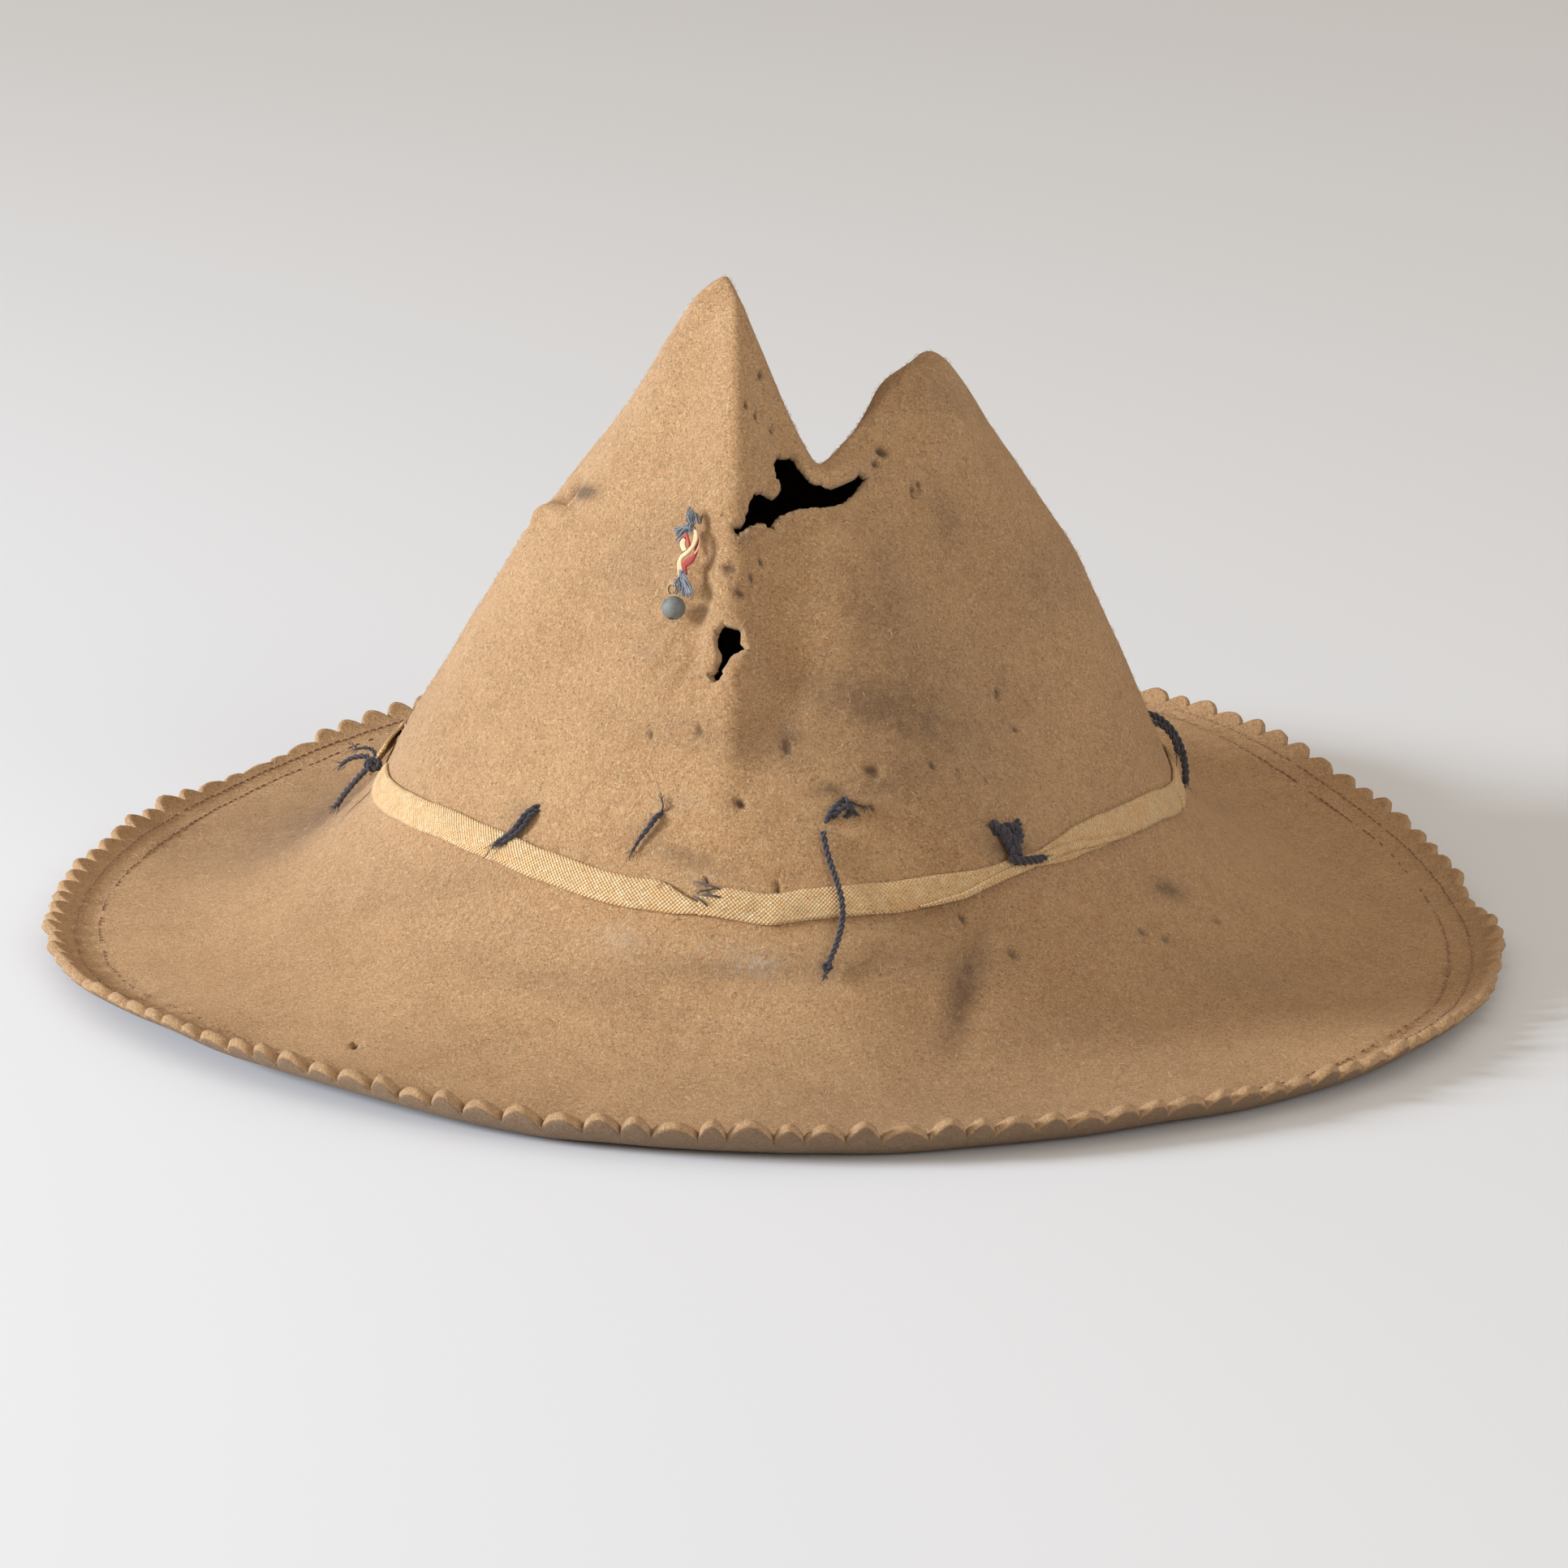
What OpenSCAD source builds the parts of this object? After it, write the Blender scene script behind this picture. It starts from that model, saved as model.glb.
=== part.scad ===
// Old soft felt hat: dented crown with two peaks and a crease between them, wide scalloped brim,
// cotton tape band held by yarn ties, and a small beaded ribbon charm sewn to the front.
// X runs to the viewer's right, Y to the back of the hat, Z up. The hat stands on its brim at Z = 0.

/* [Felt] */
// Thickness of the felt
felt_t = 2.4; // [1.8:0.1:3.2]

/* [Brim] */
// Overall width of the brim, side to side
brim_w = 316; // [280:1:380]
// Overall length of the brim, front to back
brim_l = 342; // [300:1:410]
// Number of scallops cut round the edge, an even number
scallops = 128; // [96:4:160]
// Depth of one scallop
scallop_depth = 4; // [2:0.5:5]
// Length of felt rolled up along the edge, scallops included
curl_len = 11; // [9:0.5:15]
// How far the edge rolls up at the front, in degrees
curl_front = 72; // [40:1:80]
// How far the edge rolls up at the sides and back, in degrees
curl_back = 34; // [15:1:60]
// Height that the back of the brim is turned up
back_lift = 14; // [0:1:25]

/* [Crown] */
// Outside width of the crown at the bend, side to side
band_w = 177; // [145:1:200]
// Outside length of the crown at the bend, front to back
band_l = 198; // [175:1:225]
// Height of the bend above the surface that the hat stands on
throat_h = 29; // [18:1:36]
// Height of the left peak above the bend
peak_left = 120; // [95:1:140]
// Height of the right peak above the bend
peak_right = 99; // [80:1:120]
// Height of the crease between the peaks above the bend, at its middle
crease_h = 73; // [55:1:85]
// Depth of the two pinches beside the front ridge, as a share of the radius
pinch = 0.15; // [0:0.01:0.25]

/* [Tears] */
// Width of the large tear under the crease
tear_w = 27; // [10:1:34]
// Height of the large tear
tear_h = 10; // [6:1:14]
// Width of the small hole in the front ridge
hole_w = 6; // [3:0.5:9]

/* [Sweatband] */
// Height of the leather sweatband, measured straight up
sweat_h = 32; // [24:1:40]
// Thickness of the leather
sweat_t = 1.3; // [0.8:0.1:2]
// Diameter of the reed rolled into its lower edge
reed_d = 1.8; // [1.2:0.1:2.6]
// Number of stitches that hold the sweatband
sweat_stitches = 44; // [24:2:72]

/* [Band] */
// Width of the cotton tape
tape_w = 6.6; // [5:0.2:10]
// Thickness of the cotton tape
tape_t = 0.6; // [0.4:0.1:1.2]

/* [Yarn] */
// Diameter of the two-ply yarn
yarn_d = 1.4; // [1:0.1:2]

/* [Charm] */
// Diameter of the bead
bead_d = 5; // [3:0.5:8]
// Length of the ribbon from its stitch to the wire eye
ribbon_l = 17.4; // [15:0.2:22]
// Diameter of one ribbon strand
strand_d = 1; // [0.6:0.1:1.4]

/* [Edge stitching] */
// Distance of the outer stitch row from the scallop tips
stitch_outer = 6; // [5.5:0.5:9]
// Distance between the two stitch rows
stitch_gap = 5; // [3:0.5:8]
// Thickness of the stitching thread
thread_d = 0.7; // [0.4:0.1:1]

/* [Hidden] */

cols = scallops / 2;                 // columns of the felt mesh
crown_rings = 22;                    // rings of the crown mesh
a_band = band_w / 2;
b_band = band_l / 2;
left_peak = [-10, -14];
right_peak = [32, -4];
crease_x = 8;                        // where the crease runs, front to back
crease_fall = 0.28;                  // how much the crease drops towards the back
crease_wall_left = 2.3;              // steepness of the crease under the left peak
crease_wall_right = 1.3;             // steepness under the right peak
crease_round = 2.5;                  // how soft the bottom of the crease is
fold_soft = 1.6;                     // how softly the peaks turn down into the crease
left_curve = [1.13, 0.03];           // how the left peak's sides bow, and how round its tip is
right_curve = [1.2, 0.11];           // the same for the right peak
pinch_reach = 95;                    // how far round from the front ridge the pinches reach, in degrees
bend_tilt = [0.016, 0.023];          // slope of the bend's plane to the right and to the back
lean_cap = 2.3;                      // most that a steep wall's thickness grows when measured straight down
dent_at = [46, -40];                 // middle of the hollow in the right front of the crown
dent_size = [44, 44];
dent_depth = 13;
tear_at = [4, -44];                  // middle of the large tear, on the ground plan
hole_at = [-10.5, -66];              // middle of the small hole
front_dir = 275;                     // direction in which the edge rolls up most
curl_spread = 110;                   // how far round from there the rolled edge fades out
back_lift_dir = [80, 84];            // direction of the turned-up back, and how far round it fades out
left_lift = 3;                       // height that the left front of the brim is turned up
left_lift_dir = [225, 42];
clear = 0.3;                         // air between the felt and what lies on it

// ---- small helpers ----
function mix(p, q, t) = p + (q - p) * t;
function turn(a, b) = ((a - b + 900) % 360) - 180;
function bump(d, w) = abs(d) < w ? pow(cos(90 * d / w), 2) : 0;
function unit(v) = v / norm(v);
function soft_min(p, q, k) = let(d = abs(p - q)) min(p, q) - k * ln(1 + exp(-d / k));

// ---- crown surface: height over the ground plan ----
function bend_z(x, y) = throat_h + bend_tilt[0] * x + bend_tilt[1] * y;
// 0 at the peak p, 1 on the oval of the bend
function gauge(x, y, p) =
    let(dx = (x - p[0]) / a_band, dy = (y - p[1]) / b_band, cx = p[0] / a_band, cy = p[1] / b_band,
        a = dx * dx + dy * dy, b = dx * cx + dy * cy, c = cx * cx + cy * cy - 1)
    a < 1e-9 ? 0 : a / (-b + sqrt(b * b - a * c));
function cone(g, curve) =
    let(tip = curve[1]) 1 - pow((sqrt(g * g + tip * tip) - tip) / (sqrt(1 + tip * tip) - tip), curve[0]);
// the pinches either side of the ridge that comes down from the left peak
function pinched(x, y, g) =
    let(d = abs(turn(atan2(y - left_peak[1], x - left_peak[0]), 270)))
    g / (1 - 3 * pinch * (d < pinch_reach ? sin(180 * d / pinch_reach) * (1 - d / pinch_reach) : 0)
        * max(0, 1 - g));
// a soft hollow with a round outline, 1 at its middle
function hollow(x, y, at, size) = bump(90 * norm([(x - at[0]) / size[0], (y - at[1]) / size[1]]), 90);
function hull_z(x, y) =
    let(g1 = gauge(x, y, left_peak), g2 = gauge(x, y, right_peak),
        h1 = peak_left * max(0, cone(pinched(x, y, g1), left_curve)),
        h2 = peak_right * max(0, cone(g2, right_curve)))
    pow(pow(h1, 8) + pow(h2, 8), 1 / 8) - dent_depth * hollow(x, y, dent_at, dent_size);
function crease_z(x, y) =
    let(d = x - crease_x, wall = d < 0 ? -d * crease_wall_left : d * crease_wall_right)
    crease_h - crease_fall * y + sqrt(wall * wall + crease_round * crease_round) - crease_round;
function crown_z(x, y) = bend_z(x, y) + soft_min(hull_z(x, y), crease_z(x, y), fold_soft);

// slope and normal of the crown by small steps
step = 0.5;
function crown_slope(x, y) = [
    (crown_z(x + step, y) - crown_z(x - step, y)) / (2 * step),
    (crown_z(x, y + step) - crown_z(x, y - step)) / (2 * step)];
function crown_normal(x, y) = let(s = crown_slope(x, y)) unit([-s[0], -s[1], 1]);
// how deep a layer of thickness t is when it is measured straight down
// (taken a little way in, because the surface ends at the bend)
function deep(x, y, t) = let(s = crown_slope(x * 0.985, y * 0.985)) t * min(sqrt(1 + s * s), lean_cap);
function on_crown(a, r, lift = 0) =
    let(x = a_band * r * cos(a), y = b_band * r * sin(a)) [x, y, crown_z(x, y)] + crown_normal(x, y) * lift;
function under_crown(a, r, t) =
    let(x = a_band * r * cos(a), y = b_band * r * sin(a)) [x, y, crown_z(x, y) - deep(x, y, t)];

// ---- brim surface: u runs 0 to 1 from the bend outwards, then e mm round the rolled edge ----
function roll(a) = mix(curl_back, curl_front, bump(turn(a, front_dir), curl_spread));
function roll_r(a) = curl_len / (roll(a) * PI / 180);
function low_z(a) = felt_t + back_lift * bump(turn(a, back_lift_dir[0]), back_lift_dir[1])
    + left_lift * bump(turn(a, left_lift_dir[0]), left_lift_dir[1]);
function low_line(a) =
    let(run = (roll_r(a) + felt_t) * sin(roll(a)))
    [(brim_w / 2 - run) * cos(a), (brim_l / 2 - run) * sin(a), low_z(a)];
function brim_top(a, u, e = 0) =
    let(p = on_crown(a, 1), q = low_line(a), r = roll_r(a), t = e / r * 180 / PI, fall = 1 - pow(1 - u, 2.8),
        w = mix(p, q, u))
    [w[0] + r * sin(t) * cos(a), w[1] + r * sin(t) * sin(a), mix(p[2], q[2], fall) + r * (1 - cos(t))];
function brim_normal(a, u, e = 0) =
    let(da = brim_top(a + 1, u, e) - brim_top(a - 1, u, e),
        dr = u < 1 ? brim_top(a, u) - brim_top(a, u - 0.01) : brim_top(a, 1, e + 0.3) - brim_top(a, 1, e))
    unit(cross(dr, da));
function brim_under(a, u, e = 0) =
    u == 0 ? brim_top(a, 0) - [0, 0, deep(a_band * cos(a), b_band * sin(a), felt_t)]
    : brim_top(a, u, e) - brim_normal(a, u, e) * felt_t;

// ---- mesh helpers ----
// faces between ring i and ring i + 1 of a mesh whose rings hold n points
function band_faces(i, n) = [for (k = [0:n - 1]) let(p = i * n + k, q = i * n + (k + 1) % n)
    each [[p, p + n, q + n], [p, q + n, q]]];
function flip(faces) = [for (f = faces) [f[2], f[1], f[0]]];
function shift(faces, n) = [for (f = faces) [for (i = f) i + n]];

// a tube of diameter d along points, with closed ends
module tube(points, d, sides = 8) {
    n = len(points);
    dirs = [for (i = [0:n - 1]) unit(points[min(i + 1, n - 1)] - points[max(i - 1, 0)])];
    ref = abs(dirs[0][2]) < 0.9 ? [0, 0, 1] : [1, 0, 0];
    pts = [for (i = [0:n - 1]) let(s = unit(cross(dirs[i], ref)), t = cross(dirs[i], s))
        for (k = [0:sides - 1]) points[i] + (s * cos(360 * k / sides) + t * sin(360 * k / sides)) * d / 2];
    faces = [for (i = [0:n - 2]) each band_faces(i, sides)];
    ends = [[for (k = [0:sides - 1]) k], [for (k = [0:sides - 1]) n * sides - 1 - k]];
    polyhedron(pts, concat(faces, ends));
}

// a closed mesh from rings of n points that follow each other round a section
module ring_mesh(rings) {
    n = len(rings[0]);
    m = len(rings) * n;
    polyhedron([for (r = rings) each r], [for (f = [for (i = [0:len(rings) - 1]) each band_faces(i, n)])
        [for (i = f) i % m]]);
}

// a strip with a four-cornered section, one section for each entry of rows
module strip(rows) {
    n = len(rows);
    polyhedron([for (r = rows) each r], concat([for (i = [0:n - 2]) each band_faces(i, 4)],
        [[0, 1, 2, 3]], [[4 * n - 1, 4 * n - 2, 4 * n - 3, 4 * n - 4]]));
}

// ---- felt ----
module crown_shell() {
    rings = [for (i = [1:crown_rings]) i / crown_rings];
    outer = [for (r = rings) for (k = [0:cols - 1]) on_crown(360 * k / cols, r)];
    inner = [for (r = rings) for (k = [0:cols - 1]) under_crown(360 * k / cols, r, felt_t)];
    m = crown_rings * cols;
    skin = [for (i = [0:crown_rings - 2]) each band_faces(i, cols)];
    pts = concat(outer, inner, [[0, 0, crown_z(0, 0)], [0, 0, crown_z(0, 0) - deep(0, 0, felt_t)]]);
    fan = [for (k = [0:cols - 1]) [2 * m, k, (k + 1) % cols]];
    fan_in = [for (k = [0:cols - 1]) [2 * m + 1, m + (k + 1) % cols, m + k]];
    last = (crown_rings - 1) * cols;
    rim = [for (k = [0:cols - 1]) let(p = last + k, q = last + (k + 1) % cols)
        each [[p, p + m, q + m], [p, q + m, q]]];
    polyhedron(pts, flip(concat(skin, fan, fan_in, rim, shift(flip(skin), m))));
}

// the ragged tear under the crease, as wide as tear_w and as high as tear_h
module tear_outline() {
    polygon([for (p = [[-0.5, -0.45], [-0.22, -0.2], [-0.02, -0.34], [0.14, -0.5], [0.3, -0.12], [0.5, 0.1],
        [0.3, 0.22], [0.1, 0.16], [-0.06, 0.5], [-0.18, 0.42], [-0.14, 0.1], [-0.34, -0.04]])
        [p[0] * tear_w, p[1] * tear_h]]);
}

// a cutter pushed straight back through the front wall at the point p
module front_cut(p, depth) {
    translate([p[0], p[1] + depth * 0.75, p[2]]) rotate([90, 0, 0]) linear_extrude(depth) children();
}

module crown() {
    color("burlywood") difference() {
        crown_shell();
        front_cut([each tear_at, crown_z(tear_at[0], tear_at[1]) - 2], 22) tear_outline();
        front_cut([each hole_at, crown_z(hole_at[0], hole_at[1])], 14)
            polygon(hole_w * [[-0.5, -0.7], [0.1, -0.55], [0.5, 0.2], [0.2, 0.8], [-0.35, 0.6]]);
    }
}

module brim() {
    stations = [0, 0.1, 0.22, 0.36, 0.52, 0.7, 0.86, 1];
    s = len(stations);
    inner_top = [for (u = stations) for (k = [0:cols - 1]) brim_top(360 * k / cols, u)];
    inner_low = [for (u = stations) for (k = [0:cols - 1]) brim_under(360 * k / cols, u)];
    root = curl_len - scallop_depth;
    edge = [for (e = [root / 2, root]) for (k = [0:scallops - 1]) [360 * k / scallops, e]];
    tips = [for (k = [0:scallops - 1]) for (j = [1:3])
        [360 * (k + j / 4) / scallops, root + scallop_depth * sin(180 * j / 4)]];
    edge_top = [for (p = concat(edge, tips)) brim_top(p[0], 1, p[1])];
    edge_low = [for (p = concat(edge, tips)) brim_under(p[0], 1, p[1])];
    h = s * cols;                      // first point of the rolled edge
    m = h + len(edge_top);             // points on one side of the felt
    skin = [for (i = [0:s - 2]) each band_faces(i, cols)];
    zip = [for (k = [0:cols - 1])
        let(p = (s - 1) * cols + k, q = (s - 1) * cols + (k + 1) % cols,
            f = h + 2 * k, g = f + 1, i = h + (2 * k + 2) % scallops)
        each [[p, f, g], [p, g, q], [q, g, i]]];
    ring = shift(band_faces(0, scallops), h);
    r0 = h + scallops;
    t0 = r0 + scallops;
    teeth = [for (k = [0:scallops - 1]) let(p = r0 + k, q = r0 + (k + 1) % scallops, t = t0 + 3 * k)
        each [[p, t, t + 1], [p, t + 1, q], [q, t + 1, t + 2]]];
    top = concat(skin, zip, ring, teeth);
    throat = [for (k = [0:cols - 1]) let(q = (k + 1) % cols) each [[k, q, q + m], [k, q + m, k + m]]];
    rim = [for (k = [0:scallops - 1]) let(p = r0 + k, q = r0 + (k + 1) % scallops, t = t0 + 3 * k)
        each [for (w = [[p, t], [t, t + 1], [t + 1, t + 2], [t + 2, q]])
            each [[w[0], w[0] + m, w[1] + m], [w[0], w[1] + m, w[1]]]]];
    color("tan")
        polyhedron(concat(inner_top, edge_top, inner_low, edge_low),
            flip(concat(top, shift(flip(top), m), throat, rim)));
}

// ---- sweatband, inside the crown ----
sweat_low = 0.985;                       // where it starts and ends, as shares of the bend's oval
function sweat_top() = sweat_low - sweat_h / (1.13 * peak_left);
function sweat_face(a, r, lift) = under_crown(a, r, felt_t + clear + lift);

module sweatband() {
    stations = [for (i = [0:4]) mix(sweat_low, sweat_top(), i / 4)];
    angles = [for (k = [0:cols - 1]) 360 * k / cols];
    color("saddlebrown") ring_mesh(concat(
        [for (r = stations) [for (a = angles) sweat_face(a, r, 0)]],
        [for (i = [4:-1:0]) [for (a = angles) sweat_face(a, stations[i], sweat_t)]]));
}

module sweatband_reed() {
    drop = reed_d / 2 + 0.2;
    centre = [for (k = [0:cols - 1]) sweat_face(360 * k / cols, sweat_low, sweat_t) - [0, 0, drop]];
    color("peru") ring_mesh([for (j = [0:5]) [for (k = [0:cols - 1]) let(a = 360 * k / cols)
        centre[k] + [cos(a) * cos(60 * j), sin(a) * cos(60 * j), sin(60 * j)] * reed_d / 2]]);
}

module sweatband_stitches() {
    color("tan") for (k = [0:sweat_stitches - 1]) {
        a = 360 * (k + 0.5) / sweat_stitches;
        r = sweat_low - 0.03;
        lift = sweat_t + thread_d / 2 + 0.15;
        tube([sweat_face(a - 1, r, lift), sweat_face(a + 1, r, lift)], thread_d, 4);
    }
}

module sweatband_back_seam() {
    half = 180 / sweat_stitches - 1.5;   // it lies between two stitches, in degrees
    color("sienna") strip([for (i = [0:6]) let(r = mix(sweat_low - 0.01, sweat_top() + 0.01, i / 6))
        [sweat_face(90 - half, r, sweat_t + 0.3), sweat_face(90 + half, r, sweat_t + 0.3),
         sweat_face(90 + half, r, sweat_t + 1.2), sweat_face(90 - half, r, sweat_t + 1.2)]]);
}

// ---- tape band ----
function tape_row(a, r, width, lift) =
    let(len = norm(on_crown(a, r + 0.01) - on_crown(a, r - 0.01)) / 0.02, h = width / 2 / len)
    [on_crown(a, r - h, lift), on_crown(a, r - h, lift + tape_t), on_crown(a, r + h, lift + tape_t),
     on_crown(a, r + h, lift)];
// how far up the crown the tape runs, at each angle
function tape_r(a) = 0.967 - 0.032 * bump(turn(a, 322), 26) - 0.03 * bump(turn(a, 172), 14);

module tape(a0, a1, lift = clear) {
    color("wheat") strip([for (i = [0:2:a1 - a0]) let(a = a0 + i)
        tape_row(a, tape_r(a), tape_w * (1 - 0.4 * bump(turn(a, 313), 22)), lift)]);
}
module band_tape_left() tape(184, 260);
module band_tape_right() tape(262, 352);
module band_tape_back() tape(-4, 178);

module band_tack_stitches() {
    lift = clear + tape_t + thread_d / 2 + 0.1;
    color("dimgray") for (r = [-0.016, 0, 0.016])
        tube([for (a = [258.5, 261, 263.5]) on_crown(a, tape_r(a) + r, lift)], thread_d, 6);
}

// ---- yarn ties: short ends of yarn that poke out of the felt ----
lie = yarn_d / 2 + clear;                // height of a yarn's middle when it lies on the felt
over = lie + tape_t + clear;             // the same where it lies on the tape
module yarn(points, d = yarn_d) {
    color("darkslateblue") tube(points, d);
}

module yarn_tie_left() {
    yarn([[-86.6, -3, 34.5], [-88.6, -2, 34], [-91.5, -1, 31], [-94, 0, 27.5], [-95.5, 1, 25]]);
    yarn([[-86.6, 0.6, 35.5], [-88.5, 1.4, 36], [-90.5, 2.4, 35.4], [-92, 3.4, 34]], yarn_d * 0.8);
}
module yarn_stub_front_left_outer()
    yarn([on_crown(229.4, 0.878, lie), on_crown(228.8, 0.896, lie + 0.4), on_crown(228, 0.914, over + 0.3),
          on_crown(227, 0.934, over + 0.2)]);
module yarn_stub_front_left_inner()
    yarn([on_crown(252, 0.873, lie), on_crown(251, 0.886, lie + 0.2), on_crown(250, 0.898, lie + 0.2),
          on_crown(248.9, 0.911, lie)], yarn_d * 0.85);
module yarn_knot_front()
    yarn([on_crown(278.6, 0.862, lie), on_crown(279.4, 0.853, lie + 0.5), on_crown(280.4, 0.85, lie + 0.6),
          on_crown(281.6, 0.853, lie)], yarn_d * 1.2);
module yarn_tuft_front_right() {
    yarn([on_crown(303.6, 0.912, lie + 0.3), on_crown(305, 0.923, lie + 0.8),
          on_crown(306.6, 0.93, lie + 0.9), on_crown(308.2, 0.926, lie + 0.6),
          on_crown(309.6, 0.916, lie + 0.3)], yarn_d * 1.3);
    yarn([on_crown(306, 0.94, over + 0.2), on_crown(307.4, 0.952, over + 0.3),
          on_crown(309.6, 0.956, over + 0.3)]);
}
module yarn_loop_right()
    yarn([on_crown(2, 0.93, lie), on_crown(3.4, 0.945, over + 0.4), on_crown(3, 0.965, over + 0.8),
          on_crown(2.4, 0.985, over + 0.4)]);
// the two ties that hold the tape at the back are alike
module back_tie(a)
    yarn([on_crown(a, 0.925, lie), on_crown(a - 0.4, 0.94, over + 0.3), on_crown(a - 1, 0.962, over + 0.4),
          on_crown(a - 1.8, 0.984, over + 0.3)]);
module yarn_tie_back_left() back_tie(135);
module yarn_tie_back_right() back_tie(48);

// the long yarn end: out of the felt, over the tape and down on to the brim
tail_route = [
    [10, -88, 45.2], [10.3, -89.2, 43.6], [10.9, -90.4, 41.4], [11.8, -91.8, 39], [12.7, -93.6, 37],
    [13.4, -95.6, 35.2], [14, -97.2, 33], [14.2, -98.4, 30.8], [14, -99.6, 28.6], [13.5, -101, 26.6],
    [12.8, -102.6, 24.8], [12, -104.2, 23.2], [11.4, -105.8, 21.8]];
module yarn_tail_front() {
    color("darkslateblue") tube(tail_route, yarn_d);
}
module yarn_tail_knot() {
    color("midnightblue") tube([[11.36, -105.9, 21.72], [11.2, -106.5, 21.4], [11, -107.3, 20.9],
        [10.8, -108, 20.5]], yarn_d * 1.35);
}

// ---- charm: ribbon strands and a bead that hang from a stitch in the left front of the crown ----
charm_at = on_crown(244.5, 0.5);
charm_end = on_crown(246.5, 0.61);
charm_down = unit(charm_end - charm_at);
charm_side = unit(cross(crown_normal(charm_at[0], charm_at[1]), charm_down));
charm_out = cross(charm_down, charm_side);
// p is given across, down and out from the stitch
function charm_pt(p) = charm_at + charm_side * p[0] + charm_down * p[1] + charm_out * p[2];
knot_at = [2.5, 5.6, 2.6];               // the knot that the ribbon swings from
eye_at = [0.9, ribbon_l, 2.6];           // where the wire eye hangs from the ribbon
knot_r = 1.3;

// a smooth S along the ribbon, offset sideways by x
function strand_pts(x, length) = [for (i = [0:8]) let(y = knot_at[1] + knot_r + 0.9 + i * length / 8)
    charm_pt([knot_at[0] + x - 0.9 * sin(40 * i) * (i / 8), y, knot_at[2]])];
strand_len = ribbon_l - knot_at[1] - knot_r - 4.6;

module charm_stitch_loop() {
    color("slategray") tube([for (t = [-60:20:60])
        charm_pt([knot_at[0], knot_at[1] - 2.4 * cos(t) - 0.4, 1.6 + 1.4 * sin(t)])], 0.7);
}
module charm_upper_tuft() {
    color("slategray") tube([for (q = [[-1.1, -0.4, 0], [-0.4, -0.1, 0], [0.3, 0.1, 0], [0.9, 0.6, 0]])
        charm_pt(knot_at + q)], 1.8);
}
module charm_strand_blue() {
    color("slategray") tube(strand_pts(-strand_d - 0.2, strand_len), strand_d);
}
module charm_strand_red() {
    color("firebrick") tube(strand_pts(0, strand_len), strand_d);
}
module charm_strand_white() {
    color("ivory") tube(strand_pts(strand_d + 0.2, strand_len), strand_d);
}
module charm_lower_tuft() {
    color("lightslategray") tube([for (q = [[1.9, -2.6, 0], [2.8, -0.8, 0.1],
        [3.8, 1.2, 0.2], [4.7, 2.8, 0.3]]) charm_pt(eye_at + q)], 1.9);
}
module charm_wire_eye() {
    color("darkgray") tube([for (t = [-150:30:150])
        charm_pt(eye_at + [1 * sin(t), 1.3 - cos(t), 0])], 0.5, 6);
}
module charm_bead() {
    color("gray") translate(charm_pt(eye_at + [1.2, 2.2 + bead_d / 2, 0.4])) sphere(d = bead_d, $fn = 32);
}

// ---- stitching along the brim ----
// a point on the brim d mm in from the scallop tips
function edge_pt(a, d, lift) =
    let(e = curl_len - d, u = e < 0 ? 1 + e / norm(low_line(a) - on_crown(a, 1)) : 1, f = max(0, e))
    brim_top(a, u, f) + brim_normal(a, u, f) * lift;
module stitch_row(d) {
    r = thread_d / 2;
    lift = r + 0.3;
    color("rosybrown") ring_mesh([for (j = [0:3]) [for (k = [0:scallops - 1])
        edge_pt(360 * k / scallops, d - r * cos(90 * j), lift + r * sin(90 * j))]]);
}
module edge_stitching_outer() stitch_row(stitch_outer);
module edge_stitching_inner() stitch_row(stitch_outer + stitch_gap);

crown();
brim();
sweatband();
sweatband_reed();
sweatband_stitches();
sweatband_back_seam();
band_tape_left();
band_tape_right();
band_tape_back();
band_tack_stitches();
yarn_tie_left();
yarn_stub_front_left_outer();
yarn_stub_front_left_inner();
yarn_knot_front();
yarn_tail_front();
yarn_tail_knot();
yarn_tuft_front_right();
yarn_loop_right();
yarn_tie_back_left();
yarn_tie_back_right();
charm_stitch_loop();
charm_upper_tuft();
charm_strand_blue();
charm_strand_red();
charm_strand_white();
charm_lower_tuft();
charm_wire_eye();
charm_bead();
edge_stitching_outer();
edge_stitching_inner();
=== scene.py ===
import math
import bpy
import numpy as np
from mathutils import Matrix, Vector


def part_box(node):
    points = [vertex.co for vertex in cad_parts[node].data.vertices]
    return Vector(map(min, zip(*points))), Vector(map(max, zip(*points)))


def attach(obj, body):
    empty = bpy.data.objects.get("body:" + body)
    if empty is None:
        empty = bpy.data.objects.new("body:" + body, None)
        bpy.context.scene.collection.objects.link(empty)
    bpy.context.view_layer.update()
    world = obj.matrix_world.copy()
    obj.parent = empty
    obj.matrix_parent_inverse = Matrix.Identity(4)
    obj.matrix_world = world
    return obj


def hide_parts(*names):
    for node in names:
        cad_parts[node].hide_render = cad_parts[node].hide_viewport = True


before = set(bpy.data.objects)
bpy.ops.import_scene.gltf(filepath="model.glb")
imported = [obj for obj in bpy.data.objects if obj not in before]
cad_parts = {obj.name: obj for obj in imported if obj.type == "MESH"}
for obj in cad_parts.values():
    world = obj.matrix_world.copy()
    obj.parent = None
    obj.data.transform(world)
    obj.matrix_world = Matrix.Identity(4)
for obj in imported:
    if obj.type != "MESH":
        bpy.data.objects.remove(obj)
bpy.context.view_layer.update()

mm = 0.001


def report(stage):
    print("hat:", stage)


# the shape of the felt, in mm and degrees, as the frame has it
def span(node, axis):
    low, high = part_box(node)
    return (high[axis] - low[axis]) / mm


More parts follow.
